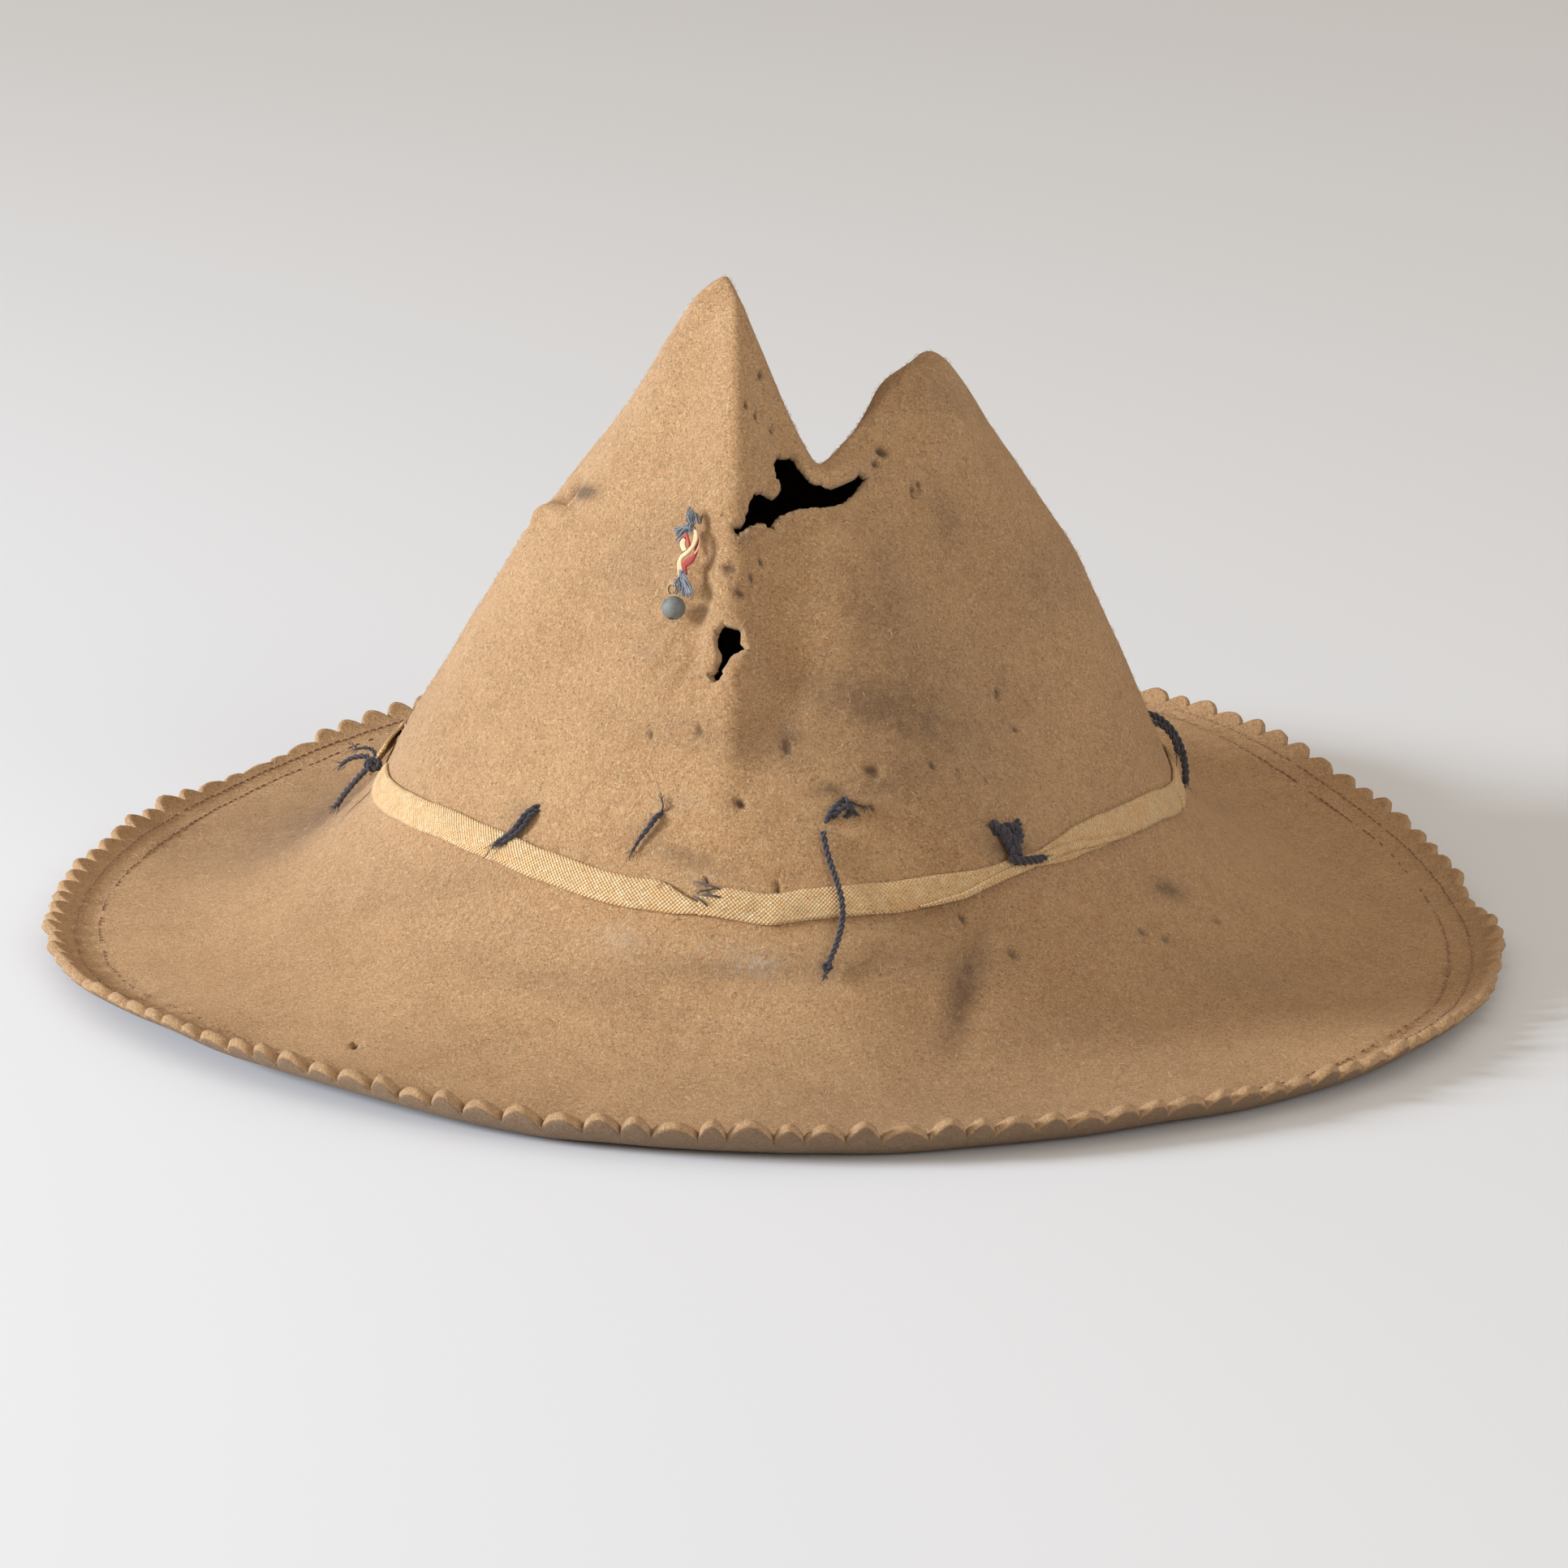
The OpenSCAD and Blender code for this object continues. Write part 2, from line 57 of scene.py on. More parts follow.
feltSize = dict(
    thick=2.4, brimWidth=span("brim", 0), brimLength=span("brim", 1), bandWidth=span("crown", 0),
    bandLength=span("crown", 1), curl=11.0, curlFront=72.0, curlBack=34.0, backLift=14.0, throat=29.0,
    scallops=128, scallopDepth=4.0)
crownSize = dict(
    leftPeak=(-10.0, -14.0), rightPeak=(32.0, -4.0), leftHeight=120.0, rightHeight=99.0, pinch=0.15,
    crease=73.0, creaseX=8.0, creaseFall=0.28, wallLeft=2.3, wallRight=1.3, creaseRound=2.5,
    dentAt=(46.0, -40.0), dentSize=(44.0, 44.0), dentDepth=13.0)
halfX, halfY = feltSize["bandWidth"] / 2, feltSize["bandLength"] / 2


def turn(a, b):
    return (a - b + 900) % 360 - 180


def bump(d, width):
    return np.where(np.abs(d) < width, np.cos(np.radians(90 * d / width)) ** 2, 0)


def mix(p, q, t):
    return p + (q - p) * t


def gauge(x, y, peak):
    dx, dy, cx, cy = (x - peak[0]) / halfX, (y - peak[1]) / halfY, peak[0] / halfX, peak[1] / halfY
    a, b, c = dx * dx + dy * dy, dx * cx + dy * cy, cx * cx + cy * cy - 1
    return a / np.maximum(-b + np.sqrt(b * b - a * c), 1e-9)


def cone(g, power, tip):
    return 1 - ((np.sqrt(g * g + tip * tip) - tip) / (math.sqrt(1 + tip * tip) - tip)) ** power


def crownHeight(x, y):
    c = crownSize
    g1, g2 = gauge(x, y, c["leftPeak"]), gauge(x, y, c["rightPeak"])
    d = np.abs(turn(np.degrees(np.arctan2(y - c["leftPeak"][1], x - c["leftPeak"][0])), 270))
    d = np.sqrt(d * d + 16) - 4
    pinching = np.where(d < 95, np.sin(np.radians(180 * d / 95)) * (1 - d / 95), 0)
    g1 = g1 / (1 - c["pinch"] * 1.5 * pinching * np.maximum(0, 1 - g1) * 2)
    h1 = c["leftHeight"] * np.maximum(0, cone(g1, 1.13, 0.03))
    h2 = c["rightHeight"] * np.maximum(0, cone(g2, 1.2, 0.11))
    away = np.hypot((x - c["dentAt"][0]) / c["dentSize"][0], (y - c["dentAt"][1]) / c["dentSize"][1])
    hull = (h1 ** 8 + h2 ** 8) ** 0.125 - c["dentDepth"] * bump(90 * away, 90)
    wall = np.where(x < c["creaseX"], (c["creaseX"] - x) * c["wallLeft"], (x - c["creaseX"]) * c["wallRight"])
    crease = c["crease"] - c["creaseFall"] * y + np.sqrt(wall ** 2 + c["creaseRound"] ** 2) - c["creaseRound"]
    low = np.minimum(hull, crease) - 1.6 * np.log(1 + np.exp(-np.abs(hull - crease) / 1.6))
    return feltSize["throat"] + 0.016 * x + 0.023 * y + low


def onCrown(a, r):
    a = np.radians(a)
    x, y = halfX * r * np.cos(a), halfY * r * np.sin(a)
    return np.stack([x, y, crownHeight(x, y)], -1)


def normalOf(place, a, r, da=0.4, dr=0.004):
    across = place(a + da, r) - place(a - da, r)
    along = place(a, r + dr) - place(a, r - dr)
    n = np.cross(along, across)
    return n / np.linalg.norm(n, axis=-1, keepdims=True)


def rollOf(a):
    return mix(feltSize["curlBack"], feltSize["curlFront"], bump(turn(a, 275), 110))


# station 1 to 2 runs from the bend to the roll, 2 to 3 round the roll to the edge
def onBrim(a, station):
    f = feltSize
    u, e = np.clip(station - 1, 0, 1), np.clip(station - 2, 0, None) * f["curl"]
    roll = np.radians(rollOf(a))
    radius = f["curl"] / roll
    run = (radius + f["thick"]) * np.sin(roll)
    rad = np.radians(a)
    lowZ = f["thick"] + f["backLift"] * bump(turn(a, 80), 84) + 3 * bump(turn(a, 225), 42)
    lowX, lowY = (f["brimWidth"] / 2 - run) * np.cos(rad), (f["brimLength"] / 2 - run) * np.sin(rad)
    low = np.stack([lowX, lowY, lowZ], -1)
    top = onCrown(a, np.ones_like(a))
    fall = 1 - (1 - u) ** 2.8
    p = top + (low - top) * u[..., None]
    p[..., 2] = mix(top[..., 2], low[..., 2], fall) + radius * (1 - np.cos(e / radius))
    p[..., 0] += radius * np.sin(e / radius) * np.cos(rad)
    p[..., 1] += radius * np.sin(e / radius) * np.sin(rad)
    return p


# smooth noise, -1 to 1, one cell to a unit
def noise(p, seed=0):
    cell = np.floor(p).astype(np.int64)
    f = p - cell
    f = f * f * (3 - 2 * f)
    total = 0
    for dx in (0, 1):
        for dy in (0, 1):
            for dz in (0, 1):
                q = cell + (dx, dy, dz)
                h = q[..., 0] * 73856093 ^ q[..., 1] * 19349663 ^ q[..., 2] * 83492791 ^ (seed + 7) * 2654435
                h = (h ^ (h >> 13)) * 1274126177
                value = ((h ^ (h >> 16)) & 65535) / 32767.5 - 1
                weight = (f[..., 0] if dx else 1 - f[..., 0]) * (f[..., 1] if dy else 1 - f[..., 1])
                total = total + value * weight * (f[..., 2] if dz else 1 - f[..., 2])
    return total


# meshes
def makeMesh(name, points, faces, body, finish):
    mesh = bpy.data.meshes.new(name)
    if not isinstance(faces, list):
        faces = faces.tolist()
    mesh.from_pydata((np.asarray(points) * mm).tolist(), [], faces)
    mesh.polygons.foreach_set("use_smooth", [True] * len(mesh.polygons))
    mesh.update()
    piece = bpy.data.objects.new(name, mesh)
    bpy.context.collection.objects.link(piece)
    mesh.materials.append(finish)
    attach(piece, body)
    return piece


def addNumbers(piece, name, values):
    layer = piece.data.attributes.new(name, "FLOAT", "POINT")
    layer.data.foreach_set("value", np.asarray(values, np.float32))


def quadsBetween(first, second, n):
    k = np.arange(n)
    return np.stack([first + k, second + k, second + (k + 1) % n, first + (k + 1) % n], 1)


def vertexNormals(points, quads):
    n = np.zeros_like(points)
    face = np.cross(points[quads[:, 2]] - points[quads[:, 0]], points[quads[:, 3]] - points[quads[:, 1]])
    for i in range(4):
        np.add.at(n, quads[:, i], face)
    return n / np.maximum(np.linalg.norm(n, axis=1, keepdims=True), 1e-12)


# tubes: every route is swept with a round section; thick is one number or one for each point
def tubeParts(route, thick, sides):
    route = np.asarray(route, float)
    n = len(route)
    thick = np.broadcast_to(np.asarray(thick, float), (n,))
    ahead = np.gradient(route, axis=0)
    ahead /= np.maximum(np.linalg.norm(ahead, axis=1, keepdims=True), 1e-9)
    side = np.cross(ahead[0], (0, 0, 1) if abs(ahead[0][2]) < 0.9 else (1, 0, 0))
    rings = []
    for i in range(n):
        side = side - ahead[i] * side.dot(ahead[i])
        side /= np.linalg.norm(side)
        other = np.cross(ahead[i], side)
        t = np.arange(sides) * 2 * np.pi / sides
        rings.append(route[i] + (np.cos(t)[:, None] * side + np.sin(t)[:, None] * other) * thick[i] / 2)
    faces = []
    for i in range(n - 1):
        for k in range(sides):
            a, b = i * sides + k, i * sides + (k + 1) % sides
            faces.append((a, b, b + sides, a + sides))
    faces.append(tuple(range(sides))[::-1])
    faces.append(tuple((n - 1) * sides + k for k in range(sides)))
    return np.concatenate(rings), faces


class Bundle:
    # gathers many small tubes into one mesh
    def __init__(self):
        self.points, self.faces, self.shade, self.count = [], [], [], 0

    def tube(self, route, thick, sides, shade):
        points, faces = tubeParts(route, thick, sides)
        self.points.append(points)
        self.faces += [tuple(i + self.count for i in f) for f in faces]
        self.shade.append(np.full(len(points), shade))
        self.count += len(points)

    def piece(self, name, body, finish):
        made = makeMesh(name, np.concatenate(self.points), self.faces, body, finish)
        addNumbers(made, "shade", np.concatenate(self.shade))
        return made


def smoothRoute(points, steps):
    # a rounded route through given points
    p = np.asarray(points, float)
    p = np.concatenate([[2 * p[0] - p[1]], p, [2 * p[-1] - p[-2]]])
    out = []
    for i in range(1, len(p) - 2):
        for t in np.arange(steps) / steps:
            a, b, c, d = p[i - 1], p[i], p[i + 1], p[i + 2]
            out.append(0.5 * (2 * b + (c - a) * t + (2 * a - 5 * b + 4 * c - d) * t ** 2
                              + (3 * b - a - 3 * c + d) * t ** 3))
    out.append(p[-2])
    return np.array(out)


# shader writing: sums on sockets, and one way to make any other node
class Wire:
    def __init__(self, finish, socket):
        self.finish, self.socket = finish, socket

    def maths(self, operation, *values):
        return self.finish.node("Math", dict(operation=operation), dict(enumerate(values)))

    def __add__(self, other):
        return self.maths("ADD", self, other)

    def __radd__(self, other):
        return self.maths("ADD", other, self)

    def __mul__(self, other):
        return self.maths("MULTIPLY", self, other)

    def __rmul__(self, other):
        return self.maths("MULTIPLY", other, self)

    def clamp(self):
        return self.finish.node("Clamp", {}, {"Value": self})


class Finish:
    def __init__(self, name, roughness=0.9, **fixed):
        self.material = bpy.data.materials.new(name)
        self.material.use_nodes = True
        self.tree = self.material.node_tree
        self.tree.nodes.clear()
        self.surface = self.tree.nodes.new("ShaderNodeBsdfPrincipled")
        output = self.tree.nodes.new("ShaderNodeOutputMaterial")
        self.tree.links.new(self.surface.outputs[0], output.inputs[0])
        self.surface.inputs["Roughness"].default_value = roughness
        for socket, value in fixed.items():
            self.surface.inputs[socket.replace("_", " ")].default_value = value

    def node(self, kind, settings=None, sockets=None, out=0):
        made = self.tree.nodes.new("ShaderNode" + kind)
        for key, value in (settings or {}).items():
            if key == "stops":
                ramp = made.color_ramp
                while len(ramp.elements) < len(value):
                    ramp.elements.new(0.5)
                for element, (place, colour) in zip(ramp.elements, value):
                    element.position, element.color = place, (*colour, 1)
            else:
                setattr(made, key, value)
        for key, value in (sockets or {}).items():
            self.feed(made.inputs[key], value)
        return Wire(self, made.outputs[out])

    def feed(self, socket, value):
        if isinstance(value, Wire):
            self.tree.links.new(value.socket, socket)
        elif isinstance(value, tuple) and len(value) == 3 and len(socket.default_value) == 4:
            socket.default_value = (*value, 1)
        else:
            socket.default_value = value

    def places(self):
        return self.node("TexCoord", {}, {}, 3)

    def speckle(self, size, detail=2.0, roughness=0.5, distortion=0.0):
        # noise whose grains are size mm across
        return self.node("TexNoise", {}, {"Vector": self.places(), "Scale": 1 / (size * mm), "Detail": detail,
                                          "Roughness": roughness, "Distortion": distortion})

    def number(self, name):
        return self.node("Attribute", dict(attribute_name=name), {}, 2)

    def blend(self, factor, first, second):
        return self.node("Mix", dict(data_type="RGBA"), {0: factor, 6: first, 7: second}, 2)

    def ramp(self, value, low, high):
        return self.node("MapRange", {}, {"Value": value, "From Min": low, "From Max": high})

    def colour(self, value):
        self.feed(self.surface.inputs["Base Color"], value)

    def rough(self, value):
        self.feed(self.surface.inputs["Roughness"], value)

    def bumps(self, height, strength, depth):
        made = self.node("Bump", {}, {"Height": height, "Strength": strength, "Distance": depth * mm})
        self.feed(self.surface.inputs["Normal"], made)


def linear(r, g, b):
    # a screen colour, 0 to 255, as light
    return tuple(((c / 255 + 0.055) / 1.055) ** 2.4 if c > 10 else c / 3295 for c in (r, g, b))


# camera, light and floor
view = dict(rise=15.2, lean=0.9, away=1.5, lens=157.9, aim=(0, 0, 0.029), shift=(0.0057, 0.0067))


def fitCamera():
    camera = bpy.data.objects.new("camera", bpy.data.cameras.new("camera"))
    bpy.context.collection.objects.link(camera)
    camera.data.lens, camera.data.sensor_width = view["lens"], 36
    camera.data.shift_x, camera.data.shift_y = view["shift"]
    camera.data.clip_start, camera.data.clip_end = 0.05, 20
    rise = math.radians(view["rise"])
    back = Vector((0, -math.cos(rise), math.sin(rise)))
    camera.location = Vector(view["aim"]) + back * view["away"]
    aimed = back.to_track_quat("Z", "Y").to_matrix()
    camera.rotation_euler = (aimed @ Matrix.Rotation(math.radians(view["lean"]), 3, "Z")).to_euler()
    bpy.context.scene.camera = camera


def softLight(name, place, aim, size, power, colour):
    lamp = bpy.data.lights.new(name, "AREA")
    lamp.shape, lamp.size, lamp.energy, lamp.color = "DISK", size, power, colour
    made = bpy.data.objects.new(name, lamp)
    made.location = place
    made.rotation_euler = (Vector(place) - Vector(aim)).to_track_quat("Z", "Y").to_euler()
    bpy.context.collection.objects.link(made)


def lightStudio():
    bpy.context.scene.view_settings.view_transform = "Standard"
    softLight("key", (-1.85, -0.35, 0.58), (0, 0, 0.06), 0.6, 47, (0.96, 1, 1.05))
    softLight("fill", (1.3, -1.7, 1.0), (0, 0, 0.05), 1.2, 9, (1, 0.98, 0.95))
    world = bpy.data.worlds.new("studio")
    world.use_nodes = True
    world.node_tree.nodes["Background"].inputs[0].default_value = (1, 0.86, 0.7, 1)
    world.node_tree.nodes["Background"].inputs[1].default_value = 0.53
    bpy.context.scene.world = world
    floor = Finish("floorPaint", 0.8)
    floor.colour((0.84, 0.89, 0.97))
    mesh = bpy.data.meshes.new("floor")
    mesh.from_pydata([(-6, -4, 0), (6, -4, 0), (6, 8, 0), (-6, 8, 0)], [], [(0, 1, 2, 3)])
    mesh.materials.append(floor.material)
    made = bpy.data.objects.new("floor", mesh)
    bpy.context.collection.objects.link(made)


fitCamera()
lightStudio()
report("camera and light")


# the felt: one skin outside, one inside, cut at its edge and holes
feltLook = dict(crownRings=150, brimRings=42, edgeRings=13, around=640, seed=5)
# places on the front are given as seen from the front, 15 degrees up: mm to the right and up
tear = [
    (0.1, 73.8), (2.7, 74.3), (4, 70.9), (5.5, 68.4), (7.8, 66.7), (10.6, 65.8), (13.5, 66.6),
    (15.7, 68.4), (17, 69.8), (18.6, 69.5), (17.5, 67.5), (15.4, 65.2), (12.8, 63.6), (9.3, 62.8),
    (6.4, 63.3), (3.1, 62.4), (0.3, 60.9), (-1.1, 59.3), (-1.6, 57.7), (-2.9, 59.4), (-5.2, 59),
    (-7.3, 57.9), (-9.4, 55.6), (-10.1, 57.7), (-7.5, 58.3), (-6.6, 61), (-4.9, 65.2), (-3.5, 65.8),
    (-1.5, 64.6), (0.6, 65.5), (1.4, 67.6), (0.1, 69.7), (-0.1, 72.2),
]
ridgeHole = [
    (-11.7, 36.3), (-9.8, 35.6), (-7.8, 35.6), (-8.3, 33.1), (-6.7, 31.2), (-9, 31), (-10.7, 29.9),
    (-12.1, 27.2), (-12.4, 25.1), (-13.7, 24.2), (-14.7, 25.8), (-12.8, 26.5), (-12.1, 29),
    (-12.2, 31.3), (-13.4, 33.4), (-12.2, 35.6),
]
brimCut = [(-91.9, -56.4), (-89.6, -56.6), (-89.7, -58), (-91.9, -57.7)]
pinHole = [(36, -60.6), (36.9, -60.7), (36.8, -61.4), (36.1, -61.4)]
# creases and ridges: height, half width, then the line; a negative height is a groove
folds = [
    (2.2, 2.4, [(3.9, 72), (6.9, 69.8), (10.6, 68.2), (14, 69.2), (17.5, 71.8), (19.5, 74)]),
    (0.9, 1.6, [(-9, 55), (-6, 57.5), (-3, 57.8), (0, 59.5), (4, 61), (9, 61.4), (13, 62)]),
    (1.1, 2, [(-15.5, 37), (-15, 32), (-15.5, 27), (-14, 23)]),
    (1.0, 1.8, [(-7.5, 37), (-5.6, 33), (-7, 29), (-10, 25)]),
    (-2.0, 3.2, [(-17.7, 58), (-16.4, 51), (-17.4, 45), (-18.4, 38), (-17.5, 30), (-16, 24)]),
    (-0.9, 1.6, [(-24, 43), (-28, 47), (-33, 50)]),
    (-0.8, 1.6, [(-24.5, 39), (-30, 40), (-37, 41)]),
    (-0.8, 1.5, [(-23.5, 36), (-28, 33), (-34, 31)]),
    (-0.7, 1.5, [(-21.5, 33.5), (-24, 28), (-28, 24)]),
    (-0.6, 1.4, [(-19, 31), (-20, 26), (-22, 21)]),
    (0.7, 2, [(-24, 45.5), (-30, 49), (-36, 53)]),
    (0.6, 2, [(-26, 41), (-32, 43), (-39, 45.5)]),
    (0.6, 2, [(-25, 37), (-31, 36.5), (-37, 35.5)]),
    (0.6, 1.8, [(-22.5, 34.5), (-27, 29.5), (-31, 26.5)]),
    (1.5, 6, [(-10.5, 104), (-10, 92), (-9, 80), (-10.5, 68), (-13, 54), (-12, 42)]),
    (1.5, 5, [(-11.5, 44), (-10, 34), (-9.5, 22), (-10.5, 10), (-12, 2)]),
    (-1.2, 6, [(2, 96), (1, 84), (0, 74)]),
    (-1.2, 7, [(-1, 54), (-1, 40), (0, 26), (-2, 12)]),
    (-1.5, 2.2, [(-49.5, 67), (-47, 64), (-44.4, 60.5)]),
    (1.3, 2.2, [(-50.5, 63), (-48, 60.5), (-46, 58)]),
    (-0.55, 0.9, [(24.5, 97), (25.2, 90), (24.6, 82)]),
    (-0.5, 0.8, [(28.6, 98), (29.6, 91), (29.8, 84)]),
    (-0.6, 0.9, [(33.4, 98), (35.4, 91), (36.4, 82), (36.2, 74)]),
    (-0.45, 0.8, [(38.6, 97), (41.6, 91), (43.4, 84)]),
    (-0.5, 1, [(40, 92), (45, 82), (48, 74)]),
    (-0.4, 1.1, [(30, 79), (31.5, 71), (30, 64)]),
    (-0.5, 1.2, [(20.5, 88), (18, 80), (17, 74)]),
    (0.8, 3, [(10, 61), (20, 52), (26, 40), (24, 28)]),
    (-0.9, 5, [(4, 55), (6, 42), (5, 28), (-2, 14)]),
    (-0.5, 2, [(-30, -33), (-20, -35.5), (-8, -37)]),
    (0.7, 5, [(-40, -38), (0, -45), (40, -41), (62, -32)]),
    (-0.8, 4, [(40, -32), (44, -42), (42, -52)]),
]
# little pits and slits: place, half width, half height, depth
pits = [
    (22.2, 75.2, 1.3, 0.9, 2.2), (20.4, 72.6, 0.9, 0.6, 1.4), (-10.7, 48.7, 1.4, 1.2, 0.9),
    (-27.6, 12.7, 0.5, 1, 0.8), (-16.7, 13.7, 0.6, 1, 0.9), (-7.6, -1.9, 1.2, 0.7, 1.6),
    (-11, -2.6, 2, 0.3, 0.7), (21.2, 5.3, 1.5, 0.8, 1.7), (2.5, 10.5, 0.9, 1.4, 0.6),
    (-14.7, -19.3, 0.6, 0.9, 1.2), (-14, -21.5, 1, 0.7, 0.8), (0.9, -20.5, 0.6, 0.9, 1),
    (29, 66.7, 0.4, 1.6, 0.8), (30.4, 67.8, 0.35, 1.3, 0.8), (48.3, 22.7, 0.5, 1, 1),
    (51.9, -33.9, 1.3, 0.7, 1.5), (66.9, -34.2, 0.7, 0.5, 1), (86.3, -30.7, 1, 0.8, 1.5),
    (96.3, -25.7, 1.1, 0.7, 1.3), (81, -29, 0.7, 0.5, 0.8), (34, 6.6, 0.5, 0.7, 0.8),
    (39.5, 5.2, 0.5, 0.6, 0.7), (46, 4, 0.4, 0.4, 0.7), (41, -26, 0.5, 0.8, 0.8),
    (-4.6, 91.5, 0.6, 0.8, 1), (-8, 84.5, 0.5, 0.7, 0.8), (-1.5, 80, 0.5, 0.6, 0.7),
    (-5.5, 82.5, 0.5, 0.9, 0.8), (-8.6, 43.4, 1, 0.7, 0.8), (-6, 47, 0.6, 1, 0.7),
    (-4, 50.5, 0.5, 0.7, 0.7), (52.5, 15, 0.5, 0.5, 0.8), (-24, -20.5, 0.8, 0.5, 0.8),
    (103, -28, 0.7, 0.4, 0.8), (26.8, 24.6, 0.5, 0.4, 0.7), (21, -2.4, 0.5, 0.7, 0.8),
]
# soft marks: place, half width, half height, tilt in degrees, strength
stains = [
    (18, 21, 17, 6, -10, 0.5), (32, 15, 12, 5, -20, 0.3), (42, -42, 3.2, 10, -14, 0.85),
    (-20, -13.8, 9, 2.4, -12, 0.6), (86.2, -19.2, 4, 2, -25, 1), (-42.8, 65.2, 3, 1.5, 15, 1.3),
    (-8, 56, 1.8, 1.6, 0, 0.9), (24, 2, 9, 5, 20, 0.35), (2.6, 13, 3.4, 5, 10, 0.5),
    (37, 61, 4, 9, 12, 0.3), (60, 50, 9, 13, -35, 0.28), (22, 42, 6, 10, 5, 0.3),
    (-31, 50, 13, 8, 30, 0.24), (-27, 30, 9, 5, -20, 0.2), (-8, 12, 30, 5, -6, 0.3),
    (-45, -42, 30, 4, -12, 0.25), (-5, -38, 28, 3, 2, 0.5), (30, -24, 14, 4, 8, 0.35),
    (-70, -20, 24, 5, 10, 0.25), (100, -38, 24, 7, -8, 0.22), (11.5, 1.2, 4, 1.6, 0, 0.9),
    (51, -11, 4.5, 3, 0, 0.8), (-55.5, -4.5, 4, 3, 30, 0.4), (-27, -8, 4, 3, 30, 0.4),
    (33, -36, 20, 8, 0, 0.3), (60, -50, 40, 6, 5, 0.18), (35, 88, 8, 4, -10, 0.25),
    (-86, 10, 20, 10, 30, 0.12),
]
scuffs = [
    (-33, -31.7, 6, 4, 0, 0.6), (-5.6, -35.7, 4, 3, 0, 0.9), (-1.2, -37.4, 3.5, 2.4, 0, 0.9),
    (-16, -19, 8, 3, -6, 0.35), (-14, -33, 6, 3, 0, 0.3), (-60, -30, 14, 6, 0, 0.15),
    (-20, -2, 10, 2, 0, 0.25),
]


def frontView(p):
    # where a point is seen from the front: mm to the right and up of the hat's middle at the bend
    rise, away, level = math.radians(view["rise"]), view["away"] / mm, 29.05
    z = p[..., 2] - level
    scale = away / (away + p[..., 1] * math.cos(rise) - z * math.sin(rise))
    return np.stack([p[..., 0] * scale, (z * math.cos(rise) + p[..., 1] * math.sin(rise)) * scale], -1)


# where wear has moved this felt from the plain shape: place, reach, and the way it went, in mm
pushes = [
    ((-37, -12, 113), 22, (2.8, 0, 0)), ((-10, -14, 147), 9, (0.6, 0, -1.6)),
    ((-2, -14, 134), 11, (-1.6, 0, 0)), ((-16, -15, 141), 5, (-1.1, 0, 0.3)),
    ((-46, -12, 99), 3.4, (6, 0.6, -1)), ((-50, -12, 94.5), 3, (-2.6, 0, 1.2)),
    ((-51.5, -12, 89), 7, (-1.4, 0, 0.3)), ((-55, -10, 80), 12, (-1.2, 0, 0)),
    ((52, -4, 108), 18, (-5, 0, 0)), ((42, -4, 122), 9, (-2.4, 0, -0.6)),
    ((32, -4, 128), 9, (0, 0, -1.6)), ((23, -4, 120), 7, (-1.4, 0, 1.4)), ((64, -6, 86), 9, (1, 0, 0)),
]


def place(a, s):
    # a is the angle round the hat; s runs from the top of the crown, 0, past the bend, 1, to the edge, 3
    p = np.where((s <= 1)[..., None], onCrown(a, np.minimum(s, 1)), onBrim(a, np.maximum(s, 1)))
    for centre, reach, way in pushes:
        near = np.exp(-(((p - centre) / reach) ** 2).sum(-1))
        p = p + near[..., None] * np.array(way, float)
    # the brim is pulled forward at both sides, and stands up a little at the back right
    out = np.clip((s - 1.25) / 0.75, 0, 1) ** 2
    p[..., 1] -= out * (13 * bump(turn(a, 350), 62) + 8 * bump(turn(a, 187), 50))
    ripple = 0.5 * noise(np.stack([a / 7, 0 * a, 0 * a], -1), 41)
    p[..., 2] += out * (3 * bump(turn(a, 46), 24) + ripple)
    return p


def lineDistance(uv, line):
    best = np.full(len(uv), 1e9)
    along = np.zeros(len(uv))
    line = np.asarray(line, float)
    for i in range(len(line) - 1):
        step = line[i + 1] - line[i]
        t = np.clip(((uv - line[i]) @ step) / (step @ step), 0, 1)
        d = np.hypot(*(uv - line[i] - t[:, None] * step).T)
        along = np.where(d < best, (i + t) / (len(line) - 1), along)
        best = np.minimum(best, d)
    return best, along


def insideOutline(uv, outline):
    inside = np.zeros(len(uv), bool)
    for i in range(len(outline)):
        (x1, y1), (x2, y2) = outline[i - 1], outline[i]
        crosses = (y1 > uv[:, 1]) != (y2 > uv[:, 1])
        inside ^= crosses & (uv[:, 0] < (x2 - x1) * (uv[:, 1] - y1) / (y2 - y1 + 1e-12) + x1)
    return inside


def grown(outline, by):
    # the outline moved outwards, because the cut felt's own thickness fills some of the opening
    p = np.array(outline, float)
    ahead = np.roll(p, -1, 0) - np.roll(p, 1, 0)
    ahead /= np.linalg.norm(ahead, axis=1, keepdims=True)
    area = np.sum(p[:, 0] * np.roll(p[:, 1], -1) - np.roll(p[:, 0], -1) * p[:, 1])
    return p + np.stack([ahead[:, 1], -ahead[:, 0]], 1) * by * np.sign(area)


def ragged(outline, rng, step=0.45, rough=0.16):
    # the same outline with the small bites of torn felt
    out = []
    for i in range(len(outline)):
        p, q = np.array(outline[i - 1], float), np.array(outline[i], float)
        n = max(1, int(np.hypot(*(q - p)) / step))
        out += [p + (q - p) * k / n + rng.normal(0, rough, 2) for k in range(n)]
    return np.array(out)


def toothEdges(rng):
    n = feltSize["scallops"]
    starts = (np.arange(n + 1) + np.append(rng.uniform(-0.17, 0.17, n), 0)) * 360 / n
    starts[-1] = starts[0] + 360
    return starts


